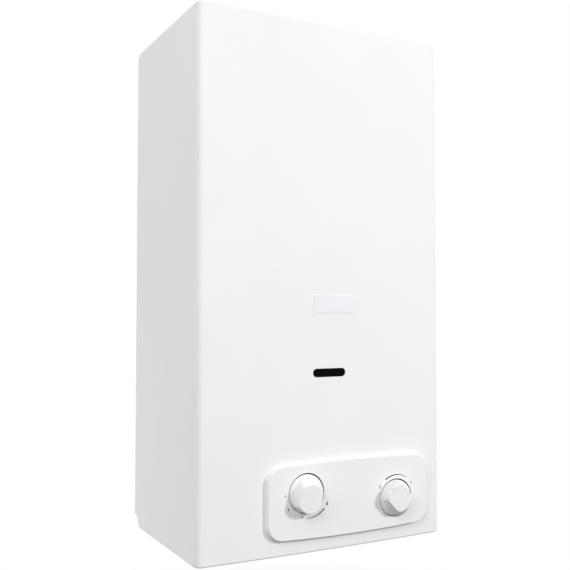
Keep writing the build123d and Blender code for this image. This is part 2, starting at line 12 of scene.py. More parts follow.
import bmesh
import bpy
from mathutils import Euler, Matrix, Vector


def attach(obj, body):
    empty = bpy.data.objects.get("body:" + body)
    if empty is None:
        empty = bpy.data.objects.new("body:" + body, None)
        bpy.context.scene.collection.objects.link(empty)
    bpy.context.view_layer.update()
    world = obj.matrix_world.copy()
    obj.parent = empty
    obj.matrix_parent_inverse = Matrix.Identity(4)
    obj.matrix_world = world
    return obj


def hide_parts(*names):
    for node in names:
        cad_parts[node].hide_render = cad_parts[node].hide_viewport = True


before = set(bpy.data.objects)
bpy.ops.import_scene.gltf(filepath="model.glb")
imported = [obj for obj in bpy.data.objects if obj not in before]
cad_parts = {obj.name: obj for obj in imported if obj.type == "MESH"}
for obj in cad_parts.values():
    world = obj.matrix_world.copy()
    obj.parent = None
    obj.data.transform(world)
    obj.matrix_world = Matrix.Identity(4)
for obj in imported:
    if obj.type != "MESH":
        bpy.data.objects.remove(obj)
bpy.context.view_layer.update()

log = logging.getLogger("water_heater")

MM = 0.001
HANG_HEIGHT = 528.0
PLATEAU_FACE = -213.0
SNAP = 1e-5
MERGE = 1e-7
FACING = 0.99
SHARP = 1.0
OUT = Vector((0.0, -1.0, 0.0))
UP = Vector((0.0, 0.0, 1.0))

Point = Sequence[float]
Colour = tuple[float, float, float]


def row(x: float, y: float, z: float) -> Vector:
    """Turns a bench place in millimetres into the row frame in metres.

    Args:
        x: Millimetres to the right of the casing's middle.
        y: Millimetres from the wall, negative towards the front.
        z: Millimetres above the casing's bottom edge.

    Returns:
        The same place in metres, from the hanging slots.
    """
    return Vector((x, y, z - HANG_HEIGHT)) * MM


def runs(edge: Any, axis: int) -> float:
    """How far an edge goes along one axis, in metres."""
    return abs(edge.verts[0].co[axis] - edge.verts[1].co[axis])


def clear_start() -> None:
    """Removes what Blender's start-up file brings."""
    for name in ("Cube", "Light", "Camera"):
        if name in bpy.data.objects:
            bpy.data.objects.remove(bpy.data.objects[name])


def deselect() -> None:
    """Leaves edit mode and clears the selection, CAD nodes included."""
    if bpy.context.object and bpy.context.object.mode != "OBJECT":
        bpy.ops.object.mode_set(mode="OBJECT")
    bpy.ops.object.select_all(action="DESELECT")


class Cut(Enum):
    """What a boolean does with the second piece."""

    JOIN = "UNION"
    REMOVE = "DIFFERENCE"


class Workpiece:
    """One mesh on the bench, shaped with Blender's own modelling tools."""

    def __init__(self, name: str) -> None:
        """Takes the primitive just added and settles its place into its mesh.

        Args:
            name: The piece's name in the scene and the export.
        """
        self.obj: bpy.types.Object = bpy.context.active_object
        self.obj.name = name
        self.obj.data.name = name
        bpy.ops.object.transform_apply(location=True, rotation=True, scale=True)

    @classmethod
    def bar(cls, name: str, middle: Vector, size: Vector, spin: float = 0.0) -> "Workpiece":
        """Adds a box about a point.

        Args:
            name: The piece's name.
            middle: The box's middle, in metres.
            size: Its length on each axis, in metres.
            spin: A turn about its own Y line, in radians.

        Returns:
            The new workpiece.
        """
        deselect()
        bpy.ops.mesh.primitive_cube_add(
            size=1.0, location=middle, rotation=(0.0, spin, 0.0), scale=size
        )
        return cls(name)

    @classmethod
    def block(cls, name: str, low: Vector, high: Vector) -> "Workpiece":
        """Adds a box between its lowest and highest corners, in metres."""
        return cls.bar(name, (low + high) / 2, high - low)

    @classmethod
    def rod(
        cls, name: str, start: Vector, end: Vector, radius: float, sides: int
    ) -> "Workpiece":
        """Adds a round bar between two points.

        Args:
            name: The piece's name.
            start: The middle of the first end, in metres.
            end: The middle of the second end, in metres.
            radius: Its radius, in metres.
            sides: How many flats stand for the round.

        Returns:
            The new workpiece.
        """
        deselect()
        line = end - start
        bpy.ops.mesh.primitive_cylinder_add(
            vertices=sides,
            radius=radius,
            depth=line.length,
            location=(start + end) / 2,
            rotation=line.to_track_quat("Z", "Y").to_euler(),
        )
        return cls(name)

    @classmethod
    def outline(cls, name: str, points: Sequence[Vector]) -> "Workpiece":
        """Draws a closed flat outline point by point and fills it.

        Args:
            name: The piece's name.
            points: The corners in order, in metres.

        Returns:
            The new workpiece, one face.
        """
        deselect()
        bpy.ops.mesh.primitive_plane_add(size=MM, location=points[0])
        piece = cls(name)
        with piece.editing():
            bpy.ops.mesh.select_mode(type="VERT")
            bpy.ops.mesh.select_all(action="SELECT")
            bpy.ops.mesh.merge(type="CENTER")
            for here, there in zip(points, points[1:]):
                bpy.ops.mesh.extrude_region_move(
                    TRANSFORM_OT_translate={"value": there - here}
                )
            bpy.ops.mesh.select_all(action="SELECT")
            bpy.ops.mesh.edge_face_add()
        return piece

    def take_up(self) -> None:
        """Selects the piece alone and makes it the active one."""
        deselect()
        self.obj.select_set(True)
        bpy.context.view_layer.objects.active = self.obj

    @contextmanager
    def editing(self) -> Iterator[None]:
        """Opens the piece alone in edit mode and closes it again."""
        self.take_up()
        bpy.ops.object.mode_set(mode="EDIT")
        try:
            yield
        finally:
            bpy.ops.object.mode_set(mode="OBJECT")

    def _pick(self, mode: str, layer: str, test: Callable[[Any], bool]) -> int:
        """Selects the elements of one kind that pass a test, in edit mode.

        Args:
            mode: Blender's select mode, VERT, EDGE or FACE.
            layer: The matching list of the edit mesh.
            test: Says whether an element is wanted.

        Returns:
            How many were selected.
        """
        bpy.ops.mesh.select_mode(type=mode)
        bpy.ops.mesh.select_all(action="DESELECT")
        mesh = bmesh.from_edit_mesh(self.obj.data)
        mesh.normal_update()
        wanted = [part for part in getattr(mesh, layer) if test(part)]
        for part in wanted:
            part.select_set(True)
        mesh.select_flush_mode()
        bmesh.update_edit_mesh(self.obj.data)
        return len(wanted)

    def pick_verts(self, test: Callable[[Vector], bool]) -> int:
        """Selects vertices by their place."""
        return self._pick("VERT", "verts", lambda v: test(v.co))

    def pick_edges(self, test: Callable[[Any], bool]) -> int:
        """Selects edges by a test on the edge."""
        return self._pick("EDGE", "edges", test)

    def pick_faces(self, test: Callable[[Vector, Vector], bool]) -> int:
        """Selects faces by their middle and normal."""
        return self._pick(
            "FACE", "faces", lambda f: test(f.calc_center_median(), f.normal)
        )

    def bevel(self, test: Callable[[Any], bool], offset: float, segments: int) -> None:
        """Rounds the edges that pass a test.

        Args:
            test: Says whether an edge is rounded.
            offset: How far the round reaches along each face, in metres.
            segments: How many strips make the round.
        """
        with self.editing():
            if self.pick_edges(test):
                bpy.ops.mesh.bevel(
                    offset_type="OFFSET",
                    offset=offset,
                    segments=segments,
                    profile=0.5,
                    affect="EDGES",
                    clamp_overlap=False,
                )

    def push_cap(
        self, way: Vector, step: float, scale: float, slide: Vector = Vector()
    ) -> None:
        """Extrudes the end face that looks one way, and scales it, in edit mode.

        Args:
            way: The direction that the end looks in.
            step: How far it moves, in metres.
            scale: How much wider or narrower it gets.
            slide: How far it moves sideways, in metres.
        """
        mesh = bmesh.from_edit_mesh(self.obj.data)
        far = max(way.dot(v.co) for v in mesh.verts)
        self.pick_faces(lambda co, n: abs(way.dot(co) - far) < SNAP / 10 and way.dot(n) > FACING)
        bpy.ops.mesh.extrude_region_move(TRANSFORM_OT_translate={"value": way * step + slide})
        if scale != 1.0:
            mesh = bmesh.from_edit_mesh(self.obj.data)
            ends = [f.calc_center_median() for f in mesh.faces if f.select]
            bpy.ops.transform.resize(value=(scale,) * 3, center_override=ends[0])

    def boolean(self, tool: "Workpiece", cut: Cut) -> None:
        """Joins another piece to this one, or cuts with it, and uses it up.

        Args:
            tool: The piece that is joined or that cuts.
            cut: Which of the two is done.
        """
        change = self.obj.modifiers.new("shape", "BOOLEAN")
        change.operation = cut.value
        change.solver = "EXACT"
        change.object = tool.obj
        self.apply(change)
        bpy.data.objects.remove(tool.obj)

    def apply(self, change: bpy.types.Modifier) -> None:
        """Applies one modifier to the mesh."""
        self.take_up()
        bpy.ops.object.modifier_apply(modifier=change.name)

    def join(self, others: Sequence["Workpiece"]) -> None:
        """Makes other pieces part of this one.

        Args:
            others: The pieces, which are used up.
        """
        self.take_up()
        for piece in others:
            piece.obj.select_set(True)
        bpy.ops.object.join()

    def copy_to(self, name: str, shift: Vector, turn: Euler) -> "Workpiece":
        """Copies the piece with a mesh of its own, turned about the origin and then moved.

        Args:
            name: The copy's name.
            shift: How far it moves, in metres.
            turn: How it turns first.

        Returns:
            The copy.
        """
        self.take_up()
        bpy.ops.object.duplicate(linked=False)
        bpy.context.active_object.rotation_euler = turn
        bpy.context.active_object.location = shift
        return type(self)(name)

    def tidy(self) -> None:
        """Merges doubles and removes slivers of no area."""
        with self.editing():
            bpy.ops.mesh.select_all(action="SELECT")
            bpy.ops.mesh.remove_doubles(threshold=MERGE)
            bpy.ops.mesh.dissolve_degenerate(threshold=MERGE)

    def face_out(self) -> None:
        """Turns every face outwards."""
        with self.editing():
            bpy.ops.mesh.select_all(action="SELECT")
            bpy.ops.mesh.normals_make_consistent(inside=False)

    def draw_out(self, way: Vector) -> None:
        """Extrudes a flat outline into a closed block.

        Args:
            way: Which way and how far it goes, in metres.
        """
        with self.editing():
            bpy.ops.mesh.select_all(action="SELECT")
            bpy.ops.mesh.extrude_region_move(TRANSFORM_OT_translate={"value": way})
        with self.editing():
            self.pick_edges(lambda e: e.is_boundary)
            bpy.ops.mesh.edge_face_add()
        self.face_out()

    @staticmethod
    def slice_at(lines: Sequence[float]) -> None:
        """Adds upright cuts through the piece, in edit mode.

        Args:
            lines: Where they lie, in millimetres from the casing's middle.
        """
        for x in lines:
            bpy.ops.mesh.select_all(action="SELECT")
            bpy.ops.mesh.bisect(plane_co=row(x, 0, 0), plane_no=(1.0, 0.0, 0.0))

    def smooth(self, angle: float, weighted: bool = True) -> None:
        """Shades the piece smooth up to an angle.

        Args:
            angle: The sharpest angle that is still smooth, in degrees.
            weighted: Whether large faces keep their own normal.
        """
        self.take_up()
        bpy.ops.object.shade_smooth_by_angle(angle=math.radians(angle))
        if weighted:
            change = self.obj.modifiers.new("shade", "WEIGHTED_NORMAL")
            change.keep_sharp = True
            change.weight = 100
            self.apply(change)

    def hand_over(
        self, body: str, slot: str, finish: bpy.types.Material, replaced: str = ""
    ) -> None:
        """Dresses the piece and sets it on the body that carries it.

        Args:
            body: The CAD body that the piece moves with.
            slot: The record's material slot; not used.
            finish: The material.
            replaced: A CAD node that the piece stands for, if any.
        """
        self.obj.data.materials.clear()
        self.obj.data.materials.append(finish)
        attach(self.obj, body)
        if replaced:
            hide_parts(replaced)
        log.info("%s: %d faces on %s", self.obj.name, len(self.obj.data.polygons), body)


Number = Union["Wire", float]


class Wire:
    """A shader socket that takes part in Python sums, each a Math node."""

    def __init__(self, bench: "NodeBench", socket: bpy.types.NodeSocket) -> None:
        """Wraps a socket.

        Args:
            bench: The node tree's bench.
            socket: The output socket.
        """
        self.bench = bench
        self.socket = socket

    def _sum(self, operation: str, first: Number, second: Number) -> "Wire":
        """Adds one Math node."""
        return self.bench.node("ShaderNodeMath", {"operation": operation}, {0: first, 1: second})

    def __add__(self, other: Number) -> "Wire":
        """Self plus other."""
        return self._sum("ADD", self, other)

    def __radd__(self, other: Number) -> "Wire":
        """Other plus self."""
        return self._sum("ADD", other, self)

    def __sub__(self, other: Number) -> "Wire":
        """Self minus other."""
        return self._sum("SUBTRACT", self, other)

    def __rsub__(self, other: Number) -> "Wire":
        """Other minus self."""
        return self._sum("SUBTRACT", other, self)

    def __mul__(self, other: Number) -> "Wire":
        """Self times other."""
        return self._sum("MULTIPLY", self, other)

    def __rmul__(self, other: Number) -> "Wire":
        """Other times self."""
        return self._sum("MULTIPLY", other, self)


class NodeBench:
    """Makes and wires the nodes of one material or world."""

    def __init__(self, owner: Any) -> None:
        """Empties the owner's node tree.

        Args:
            owner: A material or a world.
        """
        owner.use_nodes = True
        self.tree: bpy.types.NodeTree = owner.node_tree
        self.tree.nodes.clear()

    def node(
        self,
        kind: str,
        settings: dict[str, Any] | None = None,
        inputs: dict[Union[str, int], Any] | None = None,
        output: Union[str, int] = 0,
    ) -> Wire:
        """Adds a node, sets it up and wires it.

        Args:
            kind: The node's type.
            settings: Its own settings; "stops" are a ramp's places and colours.
            inputs: Values or wires by socket.
            output: The socket that is returned.

        Returns:
            The chosen output.
        """
        made = self.tree.nodes.new(kind)
        for name, value in (settings or {}).items():
            if name == "stops":
                self._set_stops(made.color_ramp, value)
            else:
                setattr(made, name, value)
        for name, value in (inputs or {}).items():
            if isinstance(value, Wire):
                self.tree.links.new(value.socket, made.inputs[name])
            else:
                made.inputs[name].default_value = value
        return Wire(self, made.outputs[output]) if made.outputs else None

    @staticmethod
    def _set_stops(ramp: bpy.types.ColorRamp, stops: Sequence[tuple[float, Colour]]) -> None:
        """Gives a ramp its stops.

        Args:
            ramp: The ramp.
            stops: Places from 0 to 1, each with its colour.
        """
        while len(ramp.elements) < len(stops):
            ramp.elements.new(0.5)
        for element, (place, colour) in zip(ramp.elements, stops):
            element.position = place
            element.color = (*colour, 1.0)

    def place(self, stretch: Point = (1.0, 1.0, 1.0)) -> Wire:
        """Object coordinates, stretched.

        Args:
            stretch: The scale of the pattern on each axis.

        Returns:
            The vector output.
        """
        here = self.node("ShaderNodeTexCoord", output="Object")
        return self.node("ShaderNodeMapping", {}, {"Vector": here, "Scale": tuple(stretch)})

    def noise(
        self, scale: float, detail: float = 3.0, stretch: Point = (1.0, 1.0, 1.0)
    ) -> Wire:
        """Noise from 0 to 1 over the piece.

        Args:
            scale: Features for each metre.
            detail: How many finer layers it has.
            stretch: The scale of the pattern on each axis.

        Returns:
            The noise's value.
        """
        return self.node(
            "ShaderNodeTexNoise",
            {},
            {"Vector": self.place(stretch), "Scale": scale, "Detail": detail},
            "Fac",
        )

    def ramp(self, value: Wire, stops: Sequence[tuple[float, Colour]]) -> Wire:
        """Turns a value into a colour."""
        return self.node("ShaderNodeValToRGB", {"stops": stops}, {"Fac": value}, "Color")

    def bump(self, height: Wire, strength: float, distance: float) -> Wire:
        """Turns a height into a normal.

        Args:
            height: The height's wire.
            strength: How strong the relief is, up to 1.
            distance: The relief's depth, in metres.

        Returns:
            The normal's wire.
        """
        return self.node(
            "ShaderNodeBump", {}, {"Height": height, "Strength": strength, "Distance": distance}
        )

    def close(self, sockets: dict[str, Any]) -> None:
        """Ends a material in one shader.

        Args:
            sockets: The shader's values and wires.
        """
        shader = self.node("ShaderNodeBsdfPrincipled", {}, sockets)
        self.node("ShaderNodeOutputMaterial", {}, {"Surface": shader})


def grey(value: float) -> Colour:
    """An even grey."""
    return (value, value, value)


@dataclass(frozen=True)
class Finish:
    """A surface finish; each kind builds its own nodes."""

    name: str

    def sockets(self, bench: NodeBench) -> dict[str, Any]:
        """The shader's values and wires."""
        raise NotImplementedError

    def make(self) -> bpy.types.Material:
        """Builds the material.

        Returns:
            The material, under the finish's name.
        """
        material = bpy.data.materials.new(self.name)
        bench = NodeBench(material)
        bench.close(self.sockets(bench))
        return material


@dataclass(frozen=True)
class Skin(Finish):
    """Broad patches that tint a surface, and a fine grain that stands up from it."""

    low: Colour = grey(0.5)
    high: Colour = grey(0.7)
    tint_ends: tuple[float, float] = (0.3, 0.7)
    patch_scale: float = 40.0
    patch_detail: float = 5.0
    grain_scale: float = 1000.0
    grain_detail: float = 2.0
    stretch: Point = (1.0, 1.0, 1.0)
    rough: float = 0.3
    patch_rough: float = 0.0
    grain_rough: float = 0.0
    relief: float = 0.3
    relief_depth: float = 0.00003
    metallic: float = 0.0

    def sockets(self, bench: NodeBench) -> dict[str, Any]:
        """Tints by the patches, and roughens by both.

        Args:
            bench: The material's bench.

        Returns:
            The shader's values and wires.
        """
        patch = bench.noise(self.patch_scale, self.patch_detail)
        grain = bench.noise(self.grain_scale, self.grain_detail, self.stretch)
        return {
            "Base Color": bench.ramp(patch, list(zip(self.tint_ends, (self.low, self.high)))),
            "Metallic": self.metallic,
            "Roughness": patch * self.patch_rough + grain * self.grain_rough + self.rough,
            "Normal": bench.bump(grain, self.relief, self.relief_depth),
        }


@dataclass(frozen=True)
class Enamel(Skin):
    """Sprayed and baked white enamel with a faint orange peel."""

    low: Colour = (0.845, 0.848, 0.852)
    high: Colour = (0.872, 0.874, 0.876)
    tint_ends: tuple[float, float] = (0.25, 0.75)
    patch_scale: float = 9.0
    patch_detail: float = 2.0
    grain_scale: float = 260.0
    grain_detail: float = 1.0
    rough: float = 0.21
    patch_rough: float = 0.06
    relief: float = 0.35
    relief_depth: float = 0.00002


@dataclass(frozen=True)
class Moulded(Skin):
    """Moulded plastic with a little flow drift and a fine eroded grain."""

    low: Colour = grey(0.8256)
    high: Colour = grey(0.86)
    tint_ends: tuple[float, float] = (0.2, 0.8)
    patch_detail: float = 2.0
    grain_scale: float = 2600.0
    rough: float = 0.31
    grain_rough: float = 0.1


@dataclass(frozen=True)
class DrawnMetal(Skin):
    """Bright metal with draw lines, dulled in patches."""

    tint_ends: tuple[float, float] = (0.34, 0.66)
    patch_scale: float = 26.0
    grain_scale: float = 900.0
    stretch: Point = (1.0, 1.0, 0.06)
    rough: float = 0.33
    patch_rough: float = -0.18
    grain_rough: float = 0.14
    relief: float = 0.16
    metallic: float = 1.0


@dataclass(frozen=True)
class CastSkin(Skin):
    """Die-cast metal as it leaves the mould, tumbled: a pebbled skin with flow marks."""

    low: Colour = (0.47, 0.47, 0.48)
    high: Colour = (0.62, 0.63, 0.64)
    patch_scale: float = 38.0
    grain_scale: float = 1100.0
    grain_detail: float = 3.0
    rough: float = 0.32
    patch_rough: float = 0.2
    grain_rough: float = 0.12
    relief: float = 0.4
    relief_depth: float = 0.00008
    metallic: float = 1.0


@dataclass(frozen=True)
class MattSkin(Skin):
    """A matt body, such as rubber, dark plastic or an insulator, with dust in its grain."""

    tint_ends: tuple[float, float] = (0.45, 0.8)
    patch_scale: float = 60.0
    grain_scale: float = 1800.0
    rough: float = 0.4
    patch_rough: float = 0.16
    grain_rough: float = 0.06
    relief_depth: float = 0.00004


@dataclass(frozen=True)
class Galvanised(Finish):
    """Hot-dipped zinc sheet with its crystal spangle."""

    spangle: float = 95.0
    low: Colour = (0.42, 0.44, 0.45)
    high: Colour = (0.66, 0.68, 0.70)
    streak_scale: float = 30.0
    streak_detail: float = 4.0
    streak_stretch: Point = (3.0, 3.0, 0.5)
    streak_share: float = 0.3
    rough: float = 0.28
    tone_rough: float = 0.22
    streak_rough: float = 0.16
    relief: float = 0.12
    relief_depth: float = 0.00005

    def sockets(self, bench: NodeBench) -> dict[str, Any]:
        """Crystals of differing grey and gloss, with dull streaks.

        Args:
            bench: The material's bench.

        Returns:
            The shader's values and wires.
        """
        crystal = bench.node(
            "ShaderNodeTexVoronoi",
            {"feature": "F1"},
            {"Vector": bench.place(), "Scale": self.spangle},
            "Color",
        )
        tone = bench.node("ShaderNodeSeparateColor", {}, {"Color": crystal}, "Red")
        streak = bench.noise(self.streak_scale, self.streak_detail, self.streak_stretch)
        mixed = tone * (1.0 - self.streak_share) + streak * self.streak_share
        return {
            "Base Color": bench.ramp(mixed, [(0.1, self.low), (0.9, self.high)]),
            "Metallic": 1.0,
            "Roughness": tone * self.tone_rough + streak * self.streak_rough + self.rough,
            "Normal": bench.bump(tone, self.relief, self.relief_depth),
        }


@dataclass(frozen=True)
class HeatTinted(Finish):
    """Stainless sheet, straw and blue where the flame has been."""

    low: float = 0.140
    high: float = 0.172
    cloud_scale: float = 45.0
    cloud_detail: float = 4.0
    cloud_share: float = 0.7
    line_scale: float = 800.0
    line_detail: float = 2.0
    line_stretch: Point = (1.0, 0.06, 1.0)
    rough: float = 0.24
    line_rough: float = 0.16
    cloud_rough: float = 0.14
    relief: float = 0.12
    relief_depth: float = 0.00003
    tint: Sequence[tuple[float, Colour]] = (
        (0.0, (0.50, 0.49, 0.47)),
        (0.45, (0.52, 0.42, 0.27)),
        (0.7, (0.40, 0.24, 0.16)),
        (1.0, (0.22, 0.23, 0.32)),
    )

    def sockets(self, bench: NodeBench) -> dict[str, Any]:
        """Grey metal that colours upwards to the burner's rim.

        Args:
            bench: The material's bench.

        Returns:
            The shader's values and wires.
        """
        here = bench.node("ShaderNodeTexCoord", output="Object")
        rise = bench.node("ShaderNodeSeparateXYZ", {}, {"Vector": here}, "Z")
        cloud = bench.noise(self.cloud_scale, self.cloud_detail)
        start = self.low - HANG_HEIGHT * MM
        climb = (rise - start) * (1.0 / (self.high - self.low))
        heat = climb + (cloud - 0.5) * self.cloud_share
        lines = bench.noise(self.line_scale, self.line_detail, self.line_stretch)
        return {
            "Base Color": bench.ramp(heat, self.tint),
            "Metallic": 1.0,
            "Roughness": lines * self.line_rough + cloud * self.cloud_rough + self.rough,
            "Normal": bench.bump(lines, self.relief, self.relief_depth),
        }


@dataclass(frozen=True)
class ShadePaintedGlass(Finish):
    """Heat-proof glass painted near-black: the black is painted shade for the dark chamber behind it."""

    # These near-black colours are painted shade for the dark chamber seen through the glass; the soot
    # noise between them is real.
    low: Colour = grey(0.001)
    high: Colour = grey(0.003)
    soot_scale: float = 120.0
    soot_detail: float = 4.0
    rough: float = 0.06
    soot_rough: float = 0.1
    shine: float = 0.04

    def sockets(self, bench: NodeBench) -> dict[str, Any]:
        """Painted black shade for the chamber behind, smooth, with a breath of soot.

        Args:
            bench: The material's bench.

        Returns:
            The shader's values and wires.
        """
        soot = bench.noise(self.soot_scale, self.soot_detail)
        return {
            "Base Color": bench.ramp(soot, [(0.3, self.low), (0.8, self.high)]),
            "Roughness": soot * self.soot_rough + self.rough,
            "Specular IOR Level": self.shine,
        }


class Slot(Enum):
    """The record's material slots and the finish of each."""

    ENAMEL = ("enamel", Enamel("white_enamel"))
    ZINC = ("zinc_sheet", Galvanised("galvanised_sheet"))
    BURNER = ("burner_steel", HeatTinted("heat_tinted_stainless"))
    STEEL = (
        "steel_rod",
        DrawnMetal("turned_steel", grey(0.5), grey(0.66), stretch=(0.06, 0.06, 1.0), rough=0.29),
    )
    KNOB = ("knob_plastic", Moulded("white_knob_plastic"))
    DARK = ("dark_plastic", MattSkin("black_plastic", grey(0.022), grey(0.045)))
    CERAMIC = (
        "ceramic_white",
        MattSkin("white_ceramic", (0.78, 0.76, 0.72), (0.7, 0.67, 0.6), rough=0.3),
    )
    BRASS = ("brass", DrawnMetal("machined_brass", (0.56, 0.39, 0.17), (0.78, 0.58, 0.27)))
    COPPER = (
        "copper",
        DrawnMetal("tinted_copper", (0.46, 0.22, 0.14), (0.80, 0.44, 0.29), stretch=(1.0, 1.0, 0.08)),
    )
    CAST = ("cast_alloy", CastSkin("die_cast_alloy"))
    RUBBER = ("rubber", MattSkin("moulded_rubber", grey(0.02), grey(0.05), rough=0.62))
    # The sight glass is painted near-black as shade for the chamber behind it.
    GLASS = ("sight_glass", ShadePaintedGlass("sight_glass_painted_shade"))

    @property
    def slot(self) -> str:
        """The slot's name in the record."""
        return self.value[0]


class PaintShop:
    """Makes each finish once and hands out its material."""

    def __init__(self) -> None:
        """Makes the record's finishes and the ones only the scene has."""
        self.by_slot = {slot: slot.value[1].make() for slot in Slot}
        self.ink = MattSkin("dial_ink", grey(0.035), grey(0.06)).make()
        self.plate = Moulded(
            "bare_badge_plate",
            low=(0.8112, 0.8256, 0.8496),
            high=(0.845, 0.86, 0.885),
            grain_scale=900.0,
            rough=0.25,
            relief_depth=0.00002,
        ).make()
        self.zinc_screw = DrawnMetal(
            "zinc_plated_screw", (0.52, 0.52, 0.5), (0.68, 0.68, 0.66), stretch=(1.0, 1.0, 1.0)
        ).make()

    def dress(self, nodes: dict[Slot, Sequence[str]]) -> None:
        """Gives CAD nodes their finish.

        Args:
            nodes: The nodes' names under each slot.
        """
        for slot, names in nodes.items():
            for name in names:
                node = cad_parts[name]
                if not node.material_slots:
                    node.data.materials.append(None)
                for place in node.material_slots:
                    place.material = self.by_slot[slot]
                log.info("%s: finished as %s", name, slot.slot)


@dataclass
class KnobPlace:
    """Where a knob sits on the plateau and where it points."""

    x: float
    z: float
    pointer: float = 0.0

    def polar(self, radius: float, angle: float, y: float) -> Vector:
        """A place about the knob's middle.

        Args:
            radius: Millimetres from the middle.
            angle: Degrees from the right, turning up, seen from the front.
            y: The bench depth in millimetres.

        Returns:
            The place in the row frame.
        """
        turn = math.radians(angle)
        return row(self.x + radius * math.cos(turn), y, self.z + radius * math.sin(turn))


GAS_PLACE = KnobPlace(-29.7, 63.0, 255.5)
WATER_PLACE = KnobPlace(81.3, 46.9, 134.0)


